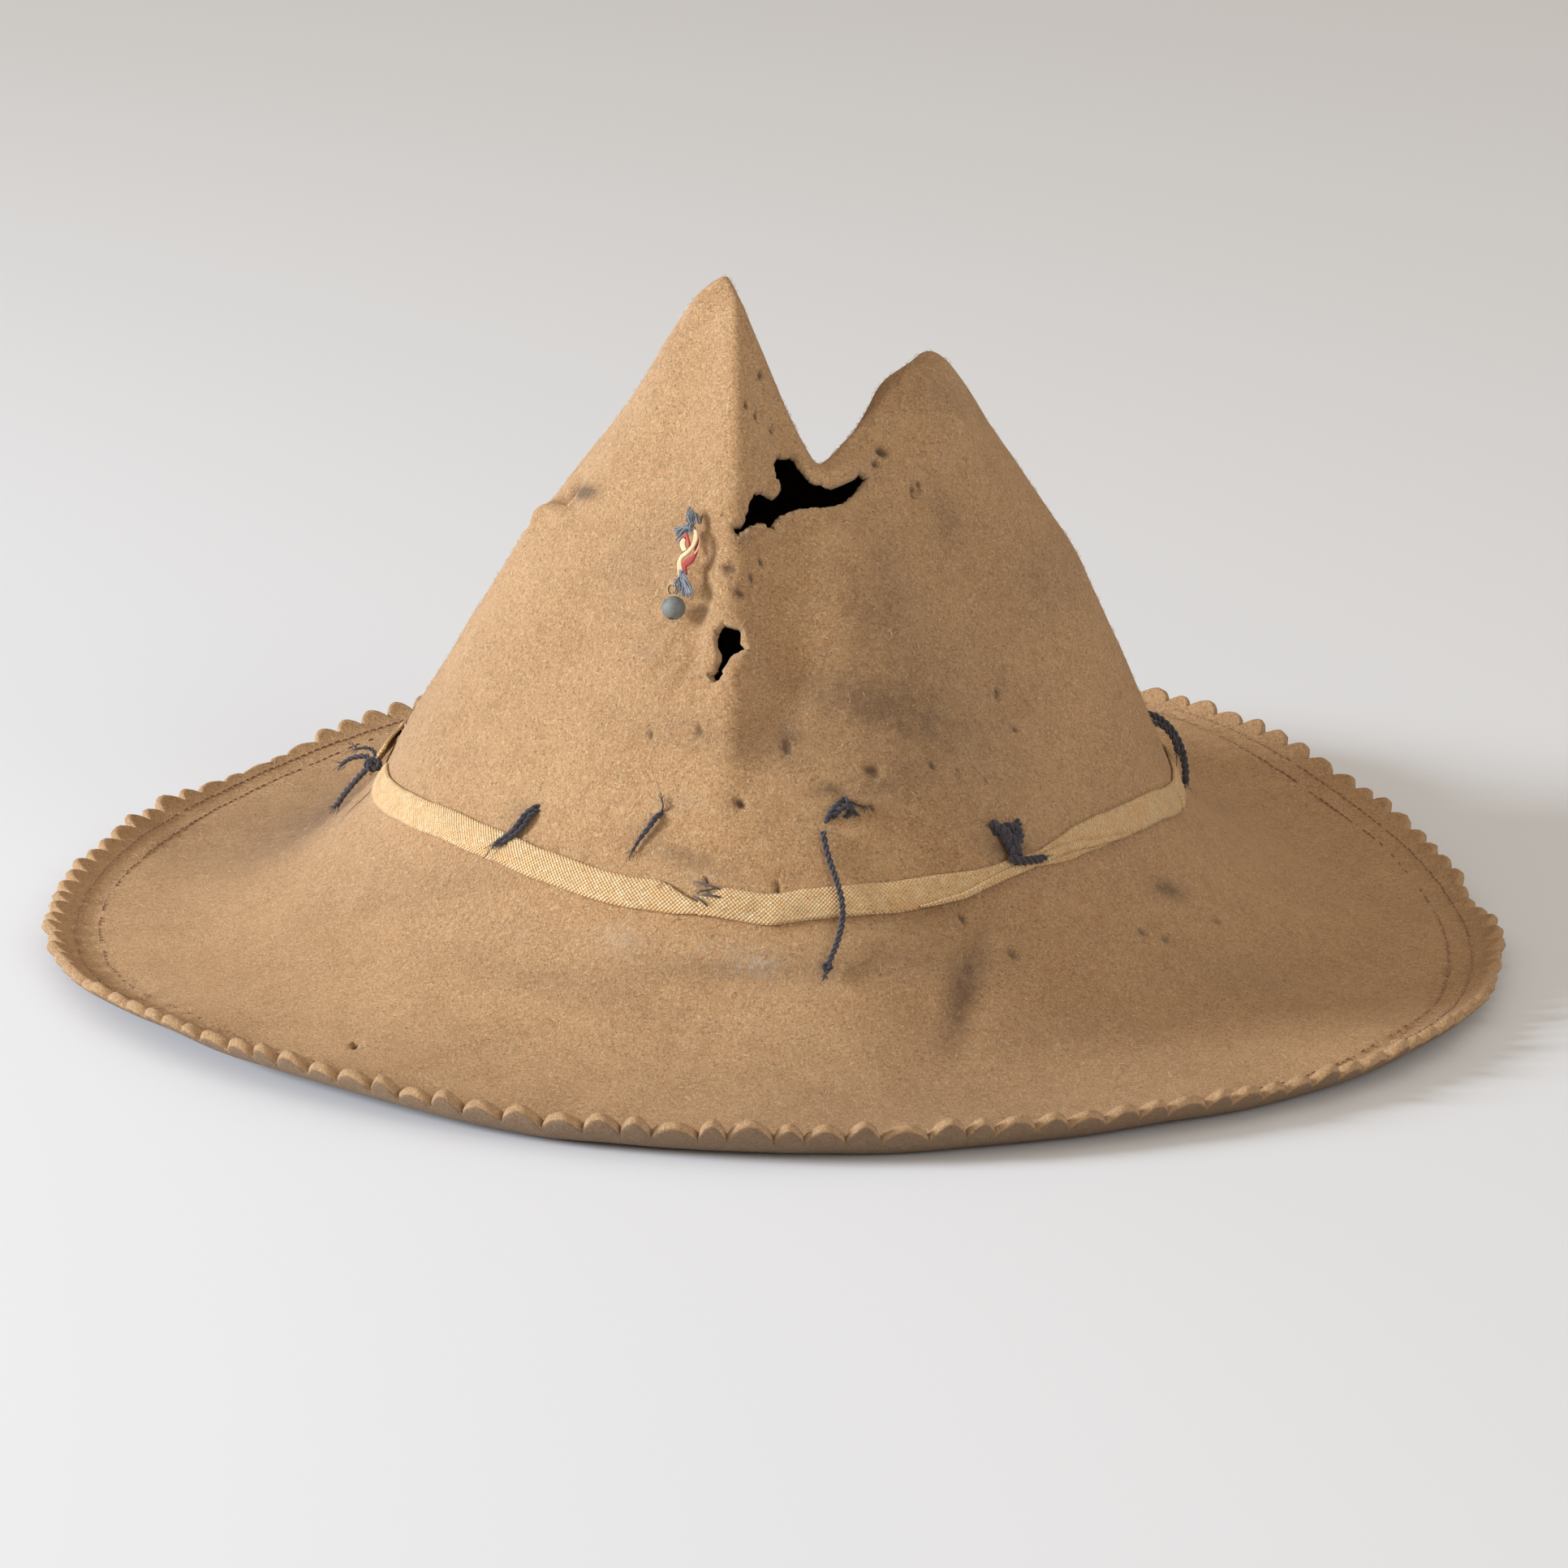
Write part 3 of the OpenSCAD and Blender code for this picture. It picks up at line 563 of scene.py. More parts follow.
def feltGrid(rng):
    look, f = feltLook, feltSize
    stations = [i / look["crownRings"] for i in range(1, look["crownRings"] + 1)]
    stations += [1 + i / look["brimRings"] for i in range(1, look["brimRings"] + 1)]
    stations += [2 + i / look["edgeRings"] for i in range(1, look["edgeRings"] + 1)]
    n = f["scallops"]
    edges = toothEdges(rng)
    depth = rng.uniform(0.72, 1.12, n)
    middle = (np.arange(n) + 0.5) * 360 / n
    worn = bump(turn(middle, 141), 11) + 0.7 * bump(turn(middle, 8), 5)
    big = bump(turn(middle, 122), 9)
    depth = depth * (1 - np.clip(worn, 0, 1) * 0.8) + big * rng.uniform(0, 0.9, n)
    angles, places, quads, count, starts = [np.zeros(1)], [np.zeros(1)], [], 1, []
    for s in stations:
        cols = look["around"] // (4 if s < 0.1 else 2 if s < 0.3 else 1) * (2 if s > 2.01 else 1)
        a = np.arange(cols) * 360 / cols
        where = np.full(cols, s)
        if s > 2:
            t = s - 2
            tooth = a / 360 * n
            even = np.interp(tooth, np.arange(n + 1), edges)
            k = np.minimum(tooth.astype(int), n - 1)
            bow = np.sin(np.pi * (tooth - k)) ** 0.62
            short = (f["curl"] - f["scallopDepth"] + f["scallopDepth"] * depth[k] * bow) / f["curl"]
            a = mix(a, even, min(1, t * 2))
            where = 2 + t * mix(1, short, t ** 1.5)
        angles.append(a)
        places.append(where)
        starts.append((count, cols))
        count += cols
    for (p, m), (q, n2) in zip(starts, starts[1:]):
        if m == n2:
            quads.append(quadsBetween(p, q, m))
        else:
            # twice as many points in the next ring: three triangles to a step
            k = np.arange(m)
            mid = q + 2 * k + 1
            after = q + (2 * k + 2) % n2
            quads.append(np.stack([p + k, q + 2 * k, mid, mid], 1))
            quads.append(np.stack([p + k, mid, p + (k + 1) % m, p + (k + 1) % m], 1))
            quads.append(np.stack([p + (k + 1) % m, mid, after, after], 1))
    first, cols = starts[0]
    k = np.arange(cols)
    after = first + (k + 1) % cols
    quads.append(np.stack([0 * k, first + k, after, after], 1))
    return np.concatenate(angles), np.concatenate(places), np.concatenate(quads)


def cutHole(a, s, quads, outline):
    # the faces inside the outline go, and the points round the gap move on to it
    p = place(a, s)
    uv = frontView(p)
    front = (p[:, 1] < 0) & (s < 2)
    middle = uv[quads].mean(1)
    gone = insideOutline(middle, outline) & front[quads].all(1)
    rim = np.intersect1d(quads[gone].ravel(), quads[~gone].ravel())
    closest = np.full(len(rim), 1e9)
    target = uv[rim].copy()
    for i in range(len(outline)):
        start, step = outline[i - 1], outline[i] - outline[i - 1]
        t = np.clip(((uv[rim] - start) @ step) / (step @ step + 1e-12), 0, 1)
        q = start + t[:, None] * step
        d = np.hypot(*(uv[rim] - q).T)
        target = np.where((d < closest)[:, None], q, target)
        closest = np.minimum(d, closest)
    for _ in range(3):
        here = frontView(place(a[rim], s[rim]))
        da = (frontView(place(a[rim] + 0.05, s[rim])) - here) / 0.05
        ds = (frontView(place(a[rim], s[rim] + 0.0005)) - here) / 0.0005
        miss = target - here
        det = da[:, 0] * ds[:, 1] - da[:, 1] * ds[:, 0]
        det = np.where(np.abs(det) < 1e-6, 1e-6, det)
        a[rim] += np.clip((miss[:, 0] * ds[:, 1] - miss[:, 1] * ds[:, 0]) / det, -0.5, 0.5)
        s[rim] += np.clip((da[:, 0] * miss[:, 1] - da[:, 1] * miss[:, 0]) / det, -0.006, 0.006)
    return quads[~gone]


def spot(uv, marks):
    # how strongly each point is touched by soft round marks
    total = np.zeros(len(uv))
    for u, v, wide, high, tilt, strength in marks:
        t = math.radians(tilt)
        du, dv = uv[:, 0] - u, uv[:, 1] - v
        x, y = (du * math.cos(t) + dv * math.sin(t)) / wide, (-du * math.sin(t) + dv * math.cos(t)) / high
        total += strength * np.exp(-(x * x + y * y))
    return total


def fromPeaks(p):
    # how far each point is, seen from above, from the nearer peak
    peaks = crownSize["leftPeak"], crownSize["rightPeak"]
    return np.minimum(*[np.hypot(p[:, 0] - x, p[:, 1] - y) for x, y in peaks])


def steepness(normals):
    # how much thicker the felt measures straight down than square to its face
    return np.minimum(1 / np.maximum(normals[:, 2], 0.1), 2.3)


def feltWearAndShade(p, normals, a, s):
    # height to add along the normal, and how dark and how pale each point is; the dark is real stains and
    # painted shade
    uv = frontView(p)
    front = np.clip(-normals[:, 1] * 3 + 0.6, 0, 1) * (p[:, 1] < 30)
    height = (1.0 * noise(p / 42, 1) + 0.32 * noise(p / 17, 2) + 0.11 * noise(p / 6, 3)
              + 0.06 * noise(p / 2.4, 4))
    height *= np.where(s < 1, np.clip(fromPeaks(p) / 18, 0.25, 1), 1) * np.where(s > 2, 0.35, 1)
    height *= 1 - 0.75 * np.exp(-((s - 0.98) / 0.05) ** 2)
    for lift, wide, line in folds:
        near = np.where(front > 0)[0]
        d, along = lineDistance(uv[near], line)
        fade = np.sin(np.pi * np.clip(along, 0.06, 0.94)) ** 0.5
        height[near] += lift * np.exp(-(d / wide) ** 2) * fade * front[near]
    dark = spot(uv, stains) * front
    # each pit is dented, and its middle darkened as painted shade
    for u, v, wide, high, deep in pits:
        r = np.hypot((uv[:, 0] - u) / wide, (uv[:, 1] - v) / high)
        height -= deep * np.exp(-r ** 3) * front
        dark += 1.6 * np.exp(-(r / 0.9) ** 4) * front
    # darker on the brim behind the crown on the left, near the bend; painted shade on the front brim towards
    # the edge and low on the crown's front right
    dark += 0.95 * bump(turn(a, 150), 42) * np.exp(-((s - 1.3) / 0.42) ** 2)
    dark += 0.34 * bump(turn(a, 285), 40) * np.exp(-((s - 1.8) / 0.4) ** 2)
    dark += 0.26 * bump(turn(a, 300), 45) * np.exp(-((s - 0.72) / 0.25) ** 2)
    return height, dark, spot(uv, scuffs) * front


# every opening, how much wider it is cut, and how ragged its edge is
openings = [(tear, 1, 0.2), (ridgeHole, 1, 0.16), (brimCut, 0.3, 0.08), (pinHole, 0, 0.03)]


def buildFelt():
    rng = np.random.default_rng(feltLook["seed"])
    a, s, quads = feltGrid(rng)
    for outline, wider, rough in openings:
        quads = cutHole(a, s, quads, ragged(grown(outline, wider), rng, rough=rough))
    base = place(a, s)
    normals = vertexNormals(base, quads)
    height, dark, pale = feltWearAndShade(base, normals, a, s)
    top = base + normals * height[:, None]
    normals = vertexNormals(top, quads)
    # the inner face lies square under the felt, and straight under the two tips
    down = np.zeros_like(top)
    down[:, 2] = -steepness(normals)
    share = np.clip(fromPeaks(top) / 10 - 0.4, 0, 1)[:, None]
    thick = feltSize["thick"]
    inner = top + mix(down, -normals, share) * thick
    # open edges, each once, with the skin on its left
    ends = np.concatenate([quads[:, [i, (i + 1) % 4]] for i in range(4)])
    owner = np.tile(np.arange(len(quads)), 4)
    real = ends[:, 0] != ends[:, 1]
    ends, owner = ends[real], owner[real]
    key = ends[:, 0] * len(top) + ends[:, 1]
    back = ends[:, 1] * len(top) + ends[:, 0]
    lone = ~np.isin(key, back)
    ends, owner = ends[lone], owner[lone]
    outward = np.zeros_like(top)
    middle = top[quads].mean(1)
    for side in (0, 1):
        np.add.at(outward, ends[:, side], (top[ends[:, 0]] + top[ends[:, 1]]) / 2 - middle[owner])
    outward /= np.maximum(np.linalg.norm(outward, axis=1, keepdims=True), 1e-9)
    rimPoints = np.unique(ends)
    index = np.full(len(top), -1)
    index[rimPoints] = np.arange(len(rimPoints))
    # the cut edge is rounded: how far through the felt each row lies, and how far out
    levels = [(0.14, 0.2), (0.38, 0.32), (0.64, 0.31), (0.88, 0.18)]
    parts, rimQuads = [top, inner], []
    lower = quads + len(top)
    count = 2 * len(top)
    last = ends
    for through, out in levels:
        rough = 1 + 0.5 * noise(top[rimPoints] / 1.3 + through * 3, 8)[:, None]
        edge = mix(top[rimPoints], inner[rimPoints], through)
        parts.append(edge + outward[rimPoints] * out * thick * rough)
        here = index[ends] + count
        rimQuads.append(np.stack([last[:, 1], last[:, 0], here[:, 0], here[:, 1]], 1))
        last, count = here, count + len(rimPoints)
    below = ends + len(top)
    rimQuads.append(np.stack([last[:, 1], last[:, 0], below[:, 0], below[:, 1]], 1))
    points = np.concatenate(parts)
    aboveTable = 0.05
    points[:, 2] = np.maximum(points[:, 2], aboveTable)
    faces = np.concatenate([quads, lower[:, ::-1], *rimQuads])
    cutEdge = np.zeros(len(points))
    cutEdge[2 * len(top):] = 1
    cutEdge[:len(top)] = np.where(np.isin(np.arange(len(top)), rimPoints), 0.7, 0)
    # the inner skin, which the finish darkens as painted shade
    under = np.zeros(len(points))
    under[len(top):2 * len(top)] = 1
    keep = np.zeros(len(points), bool)
    keep[faces.ravel()] = True
    number = np.cumsum(keep) - 1
    faces = [tuple(dict.fromkeys(q)) for q in number[faces].tolist()]

    def spread(values):
        return np.concatenate([values, values, *[values[rimPoints]] * len(levels)])[keep]

    felt = makeMesh("felt", points[keep], faces, "felt_body", feltFinish())
    # the dark number holds real stains and painted shade
    addNumbers(felt, "stain", spread(dark))
    addNumbers(felt, "scuff", spread(pale))
    addNumbers(felt, "station", spread(s))
    addNumbers(felt, "cutEdge", cutEdge[keep])
    addNumbers(felt, "under", under[keep])
    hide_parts("crown", "brim")
    report("felt, %d faces" % len(faces))


hairLook = dict(many=8000, steps=4, thick=0.11, seed=17)


def buildFuzz():
    # stray hairs of wool that stand off the felt
    rng = np.random.default_rng(hairLook["seed"])
    many, steps = hairLook["many"], hairLook["steps"]
    a = rng.uniform(0, 360, many)
    crownShare = 0.55
    s = np.where(rng.uniform(size=many) < crownShare,
                 np.sqrt(rng.uniform(0.01, 1, many)), rng.uniform(1, 2.6, many))
    p, n = onFelt(a, s, -0.1)
    uv = frontView(p)
    torn = np.zeros(many, bool)
    for outline, _, _ in openings:
        torn |= insideOutline(uv, grown(outline, 1.2)) & (p[:, 1] < 20)
    p, n = p[~torn], n[~torn]
    many = len(p)
    lean = np.cross(n, rng.normal(0, 1, (many, 3)))
    lean /= np.linalg.norm(lean, axis=1, keepdims=True)
    curl = np.cross(n, lean) * rng.normal(0, 0.5, (many, 1))
    long = rng.uniform(0.5, 1.9, (many, 1))
    rings = []
    for i in range(steps):
        t = i / (steps - 1)
        arch = 0.1 + rng.uniform(0.2, 0.5, (many, 1)) * math.sin(2.4 * t)
        middle = p + (lean * t + curl * t * t) * long + n * arch
        wide = hairLook["thick"] / 2 * (1 - 0.6 * t)
        for k in range(3):
            turned = math.radians(120 * k)
            rings.append(middle + (n * math.cos(turned) + np.cross(n, lean) * math.sin(turned)) * wide)
    points = np.stack(rings, 1).reshape(-1, 3)
    one = np.concatenate([quadsBetween(i * 3, i * 3 + 3, 3)[:, [0, 3, 2, 1]] for i in range(steps - 1)])
    faces = (one[None] + (np.arange(many) * 3 * steps)[:, None, None]).reshape(-1, 4)
    hair = Finish("feltHair", 0.9, Sheen_Weight=0.2)
    hair.colour(hair.blend(hair.number("shade"), linear(140, 100, 64), linear(250, 218, 170)))
    made = makeMesh("feltFuzz", points, faces, "felt_body", hair.material)
    addNumbers(made, "shade", np.repeat(rng.uniform(0, 1, many) ** 0.6, 3 * steps))
    report("loose hairs")


def feltFinish():
    felt = Finish("feltBrown", 0.92, Sheen_Weight=0.25, Sheen_Roughness=0.5, Specular_IOR_Level=0.15)
    light, middle, deep = linear(250, 202, 146), linear(230, 178, 123), linear(196, 144, 91)
    cloud = felt.speckle(34, 3, 0.55)
    patch = felt.speckle(7, 4, 0.65)
    grain = felt.speckle(1.3, 5, 0.75)
    fibre = felt.speckle(0.5, 3, 0.7, 1.4)
    tone = (felt.ramp(cloud, 0.3, 0.7) * 0.24 + felt.ramp(patch, 0.3, 0.7) * 0.2
            + felt.ramp(grain, 0.34, 0.66) * 0.34 + felt.ramp(fibre, 0.36, 0.64) * 0.22)
    base = felt.node("ValToRGB", dict(stops=[(0.12, deep), (0.5, middle), (0.88, light)]), {0: tone})
    # matted wool: short pale and dark hairs lying every way, and fine specks
    hairs = felt.speckle(0.85, 2, 0.7, 2.2)
    base = felt.blend(felt.ramp(hairs, 0.51, 0.63) * 0.45, base, linear(255, 224, 172))
    base = felt.blend(felt.ramp(hairs, 0.47, 0.35) * 0.45, base, linear(150, 102, 60))
    specks = felt.ramp(felt.speckle(0.65, 1, 0.5), 0.61, 0.7)
    base = felt.blend(specks * 0.5, base, linear(122, 80, 46))
    pale = felt.ramp(felt.speckle(0.6, 1, 0.5), 0.6, 0.68)
    base = felt.blend(pale * 0.55, base, linear(255, 230, 186))
    broken = felt.ramp(felt.speckle(3, 4, 0.65), 0.25, 0.7)
    # real stains, a darker patch behind the crown, and painted shade on the front and in the pits darken the
    # felt towards deep brown
    base = felt.blend((felt.number("stain") * (broken * 0.7 + 0.45)).clamp() * 0.75, base, linear(96, 68, 48))
    base = felt.blend((felt.number("scuff") * felt.ramp(felt.speckle(1.6, 4, 0.7), 0.4, 0.62)).clamp() * 0.8,
                      base, linear(226, 205, 180))
    base = felt.blend(felt.number("cutEdge") * 0.45, base, linear(224, 184, 138))
    # painted shade: the inner face of the felt is darkened
    base = felt.blend(felt.number("under") * 0.7, base, linear(120, 92, 68))
    felt.colour(base)
    felt.bumps(fibre * 0.9 + grain * 1.3 + hairs * 0.8, 1.0, 0.8)
    return felt.material


def onFelt(a, s, lift=0.0):
    # a point over the worn felt, and its normal
    a, s = np.broadcast_arrays(np.atleast_1d(np.asarray(a, float)), np.atleast_1d(np.asarray(s, float)))
    base, n = place(a, s), normalOf(place, a, s)
    height = feltWearAndShade(base, n, a, s)[0]
    return base + n * (height + np.asarray(lift, float))[:, None], n


# cotton tape round the bend
tapeLook = dict(width=6.6, thick=0.6, air=0.3, step=0.35, ribs=10)


def tapeReach(a):
    # how far up the crown the middle of the tape runs
    return (0.967 - 0.033 * bump(turn(a, 322), 26) - 0.03 * bump(turn(a, 172), 14)
            - 0.031 * bump(turn(a, 221), 38) + 0.008 * bump(turn(a, 269), 9) + 0.02 * bump(turn(a, 357), 20))


def sheetFaces(n, m):
    # both skins of a sheet of n by m points, and the strip round its rim; the lower skin's points come second
    k = np.arange(n * m).reshape(n, m)
    quads = np.stack([k[:-1, :-1], k[:-1, 1:], k[1:, 1:], k[1:, :-1]], -1).reshape(-1, 4)
    rim = np.concatenate([k[:, 0], k[-1, 1:], k[::-1, -1][1:], k[0, ::-1][1:-1]])
    after = np.roll(rim, -1)
    sides = np.stack([after, after + n * m, rim + n * m, rim], 1)
    return np.concatenate([quads, quads[:, ::-1] + n * m, sides])


def tapeStrip(angles, low, high, lift, seed=0, curl=0.25):
    # low and high are the edges in mm from the middle, up the crown being positive
    look = tapeLook
    n, m = len(angles), look["ribs"] + 1
    t = np.linspace(0, 1, m)
    middle = tapeReach(angles)
    p0, _ = onFelt(angles, middle)
    along = np.concatenate([[0], np.cumsum(np.linalg.norm(np.diff(p0, axis=0), axis=1))])
    step = np.linalg.norm(onFelt(angles, middle + 0.01)[0] - onFelt(angles, middle - 0.01)[0], axis=1) / 0.02
    wave = 0.16 * noise(np.stack([along / 5, 0 * along, 0 * along + seed], 1), 11)
    across = (low + wave)[:, None] + (high - low)[:, None] * t
    reach = middle[:, None] - across / step[:, None]
    a = np.repeat(angles, m)
    bow = curl * np.sin(np.pi * t) - 0.16 * (np.abs(t - 0.5) * 2) ** 6
    ripple = 0.14 * noise(np.stack([np.repeat(along, m) / 3.2, across.ravel() / 2.5, 0 * a + seed], 1), 12)
    height = np.repeat(lift, m) + np.tile(bow, n) + ripple
    top, _ = onFelt(a, reach.ravel(), height + look["thick"])
    bottom, _ = onFelt(a, reach.ravel(), np.maximum(height, 0.12))
    weave = np.stack([np.repeat(along, m), across.ravel()], 1)
    return np.concatenate([top, bottom]), sheetFaces(n, m), np.concatenate([weave, weave])


def tapePiece(name, strips, nodes, finish):
    points = np.concatenate([s[0] for s in strips])
    starts = np.cumsum([0] + [len(s[0]) for s in strips[:-1]])
    faces = np.concatenate([s[1] + k for s, k in zip(strips, starts)])
    made = makeMesh(name, points, faces, "felt_body", finish)
    weave = np.concatenate([s[2] for s in strips])
    addNumbers(made, "along", weave[:, 0])
    addNumbers(made, "across", weave[:, 1])
    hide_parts(*nodes)


def smooth(x, low, high):
    # 0 before low, 1 past high, and an even rise between
    t = np.clip((x - low) / (high - low), 0, 1)
    return t * t * (3 - 2 * t)


def buildTapes():
    half, air, cloth = tapeLook["width"] / 2, tapeLook["air"], tapeFinish()

    def run(first, last):
        return np.arange(first, last + 0.01, tapeLook["step"])

    a = run(183.5, 261.5)
    left = tapeStrip(a, -half + 0 * a, half * (1 - 1.35 * smooth(a, 253.5, 261)), air + 0 * a)
    tapePiece("tapeLeft", [left], ["band_tape_left"], cloth)
    a = run(259.8, 311)
    high = half * (1 - 0.8 * smooth(a, 264, 259.8) - 0.35 * smooth(a, 292, 305) - 0.25 * smooth(a, 304, 311))
    first = tapeStrip(a, half * (-1 + 1.0 * smooth(a, 288, 309)), high, air + 0 * a, 3)
    a = run(304.5, 352.5)
    second = tapeStrip(a, half * (-1 + 0.75 * smooth(a, 318, 305)), half * (1 - 0.75 * smooth(a, 326, 305)),
                       air + 0 * a, 5)
    a = run(290, 331)
    wide = 2.1 * np.sin(np.pi * np.clip((a - 288.5) / 44, 0, 1)) ** 0.6
    middle = half * (-0.9 + 0.75 * smooth(a, 290, 305) - 0.75 * smooth(a, 312, 331))
    flap = tapeStrip(a, middle - wide / 2, middle + wide / 2, air + tapeLook["thick"] + 0.25 + 0 * a, 8, 0.4)
    tapePiece("tapeRight", [first, second, flap], ["band_tape_right"], cloth)
    a = run(-6.5, 181)
    back = tapeStrip(a, -half + 0 * a, half + 0 * a, air + 1.5 * bump(turn(a, 181), 9) + 0 * a, 13)
    tapePiece("tapeBack", [back], ["band_tape_back"], cloth)
    report("tapes")


def tapeFinish():
    cloth = Finish("cottonTape", 0.9, Sheen_Weight=0.2, Specular_IOR_Level=0.2)
    along, across = cloth.number("along"), cloth.number("across")
    pitch = 0.9
    wobble = cloth.speckle(2.5, 2) * 0.5
    warp = along * (2 * math.pi / pitch) + wobble
    weft = across * (2 * math.pi / pitch)
    threads = warp.maths("SINE", warp) * weft.maths("SINE", weft)
    tone = (cloth.ramp(cloth.speckle(5, 4, 0.6), 0.25, 0.75) * 0.6
            + cloth.ramp(cloth.speckle(0.8, 3, 0.6), 0.3, 0.7) * 0.4)
    base = cloth.blend(tone, linear(252, 198, 134), linear(255, 236, 184))
    base = cloth.blend((threads * 0.5 + 0.5) * 0.6, base, linear(190, 132, 78))
    flecks = cloth.ramp(cloth.speckle(0.55, 1, 0.5), 0.58, 0.7)
    base = cloth.blend(flecks * 0.45, base, linear(158, 110, 64))
    slubs = cloth.ramp(cloth.speckle(0.8, 1, 0.5, 1.5), 0.54, 0.68)
    base = cloth.blend(slubs * 0.6, base, linear(255, 242, 208))
    dirt = cloth.ramp(cloth.speckle(7, 4, 0.6), 0.56, 0.75)
    base = cloth.blend(dirt * 0.3, base, linear(168, 128, 84))
    cloth.colour(base)
    cloth.bumps(threads * 0.7 + cloth.speckle(0.3, 3) * 0.5, 1.0, 0.35)
    return cloth.material


# yarn
yarnLook = dict(thick=1.4, pitch=3.0, plies=2, step=0.22)


def evenRoute(route, step):
    route = np.asarray(route, float)
    d = np.concatenate([[0], np.cumsum(np.linalg.norm(np.diff(route, axis=0), axis=1))])
    t = np.linspace(0, d[-1], max(3, int(d[-1] / step)))
    return np.stack([np.interp(t, d, route[:, i]) for i in range(3)], 1)


def sideways(route):
    ahead = np.gradient(route, axis=0)
    ahead /= np.maximum(np.linalg.norm(ahead, axis=1, keepdims=True), 1e-9)
    side = np.cross(ahead, (0.3, 0.2, 1))
    side /= np.maximum(np.linalg.norm(side, axis=1, keepdims=True), 1e-9)
    return ahead, side, np.cross(ahead, side)


def addYarn(bundle, route, rng, thick=yarnLook["thick"], taper=0.0, fray=10, strays=9):
    # two plies wound round each other, with a frayed end and stray fibres
    route = evenRoute(route, yarnLook["step"])
    ahead, side, other = sideways(route)
    n = len(route)
    at = np.arange(n) * yarnLook["step"]
    size = thick * (1 - taper * np.linspace(0, 1, n) ** 2)
    start = rng.uniform(0, 6.28)
    for k in range(yarnLook["plies"]):
        turnBy = start + 2 * np.pi * (at / yarnLook["pitch"] + k / yarnLook["plies"])
        off = (np.cos(turnBy)[:, None] * side + np.sin(turnBy)[:, None] * other) * (size * 0.24)[:, None]
        bundle.tube(route + off, size * 0.52 * (1 + 0.05 * np.sin(at * 5 + k)), 8, rng.uniform(0.3, 0.6))
    for _ in range(fray):
        lean = (ahead[-1] * rng.uniform(0.5, 1.6) + side[-1] * rng.normal(0, 0.4)
                + other[-1] * rng.normal(0, 0.4))
        curl = rng.normal(0, 0.35, 3)
        t = np.linspace(0, 1, 6)[:, None]
        spread = (side[-1] * rng.normal(0, 0.2) + other[-1] * rng.normal(0, 0.2)) * thick
        fibre = route[-2] + spread + lean * t * rng.uniform(0.8, 2) + curl * t * t
        bundle.tube(fibre, 0.13, 4, rng.uniform(0.3, 1))
    for _ in range(strays):
        i = rng.integers(1, n - 1)
        out = side[i] * rng.normal(0, 1) + other[i] * rng.normal(0, 1)
        out /= np.linalg.norm(out)
        t = np.linspace(0, 1, 6)[:, None]
        bend = ahead[i] * rng.normal(0, 1.2)
        fibre = route[i] + out * thick * 0.42 + out * t * rng.uniform(0.15, 0.7) + bend * t * t
        bundle.tube(fibre, 0.06, 3, rng.uniform(0.4, 1))


def overFelt(spots, steps=4):
    # a rounded route through (angle, reach, lift) on the felt
    spots = np.array(spots, float)
    p, n = onFelt(spots[:, 0], spots[:, 1], spots[:, 2])
    return smoothRoute(p, steps)


tailRoute = [
    (10, -88, 45.2), (10.3, -89.2, 43.6), (10.9, -90.4, 41.4), (11.8, -91.8, 39), (12.7, -93.6, 37),
    (13.4, -95.6, 35.2), (14, -97.2, 33), (14.2, -98.4, 30.8), (14, -99.6, 28.6), (13.5, -101, 26.6),
    (12.8, -102.6, 24.8), (12, -104.2, 23.2), (11.4, -105.8, 21.8)]


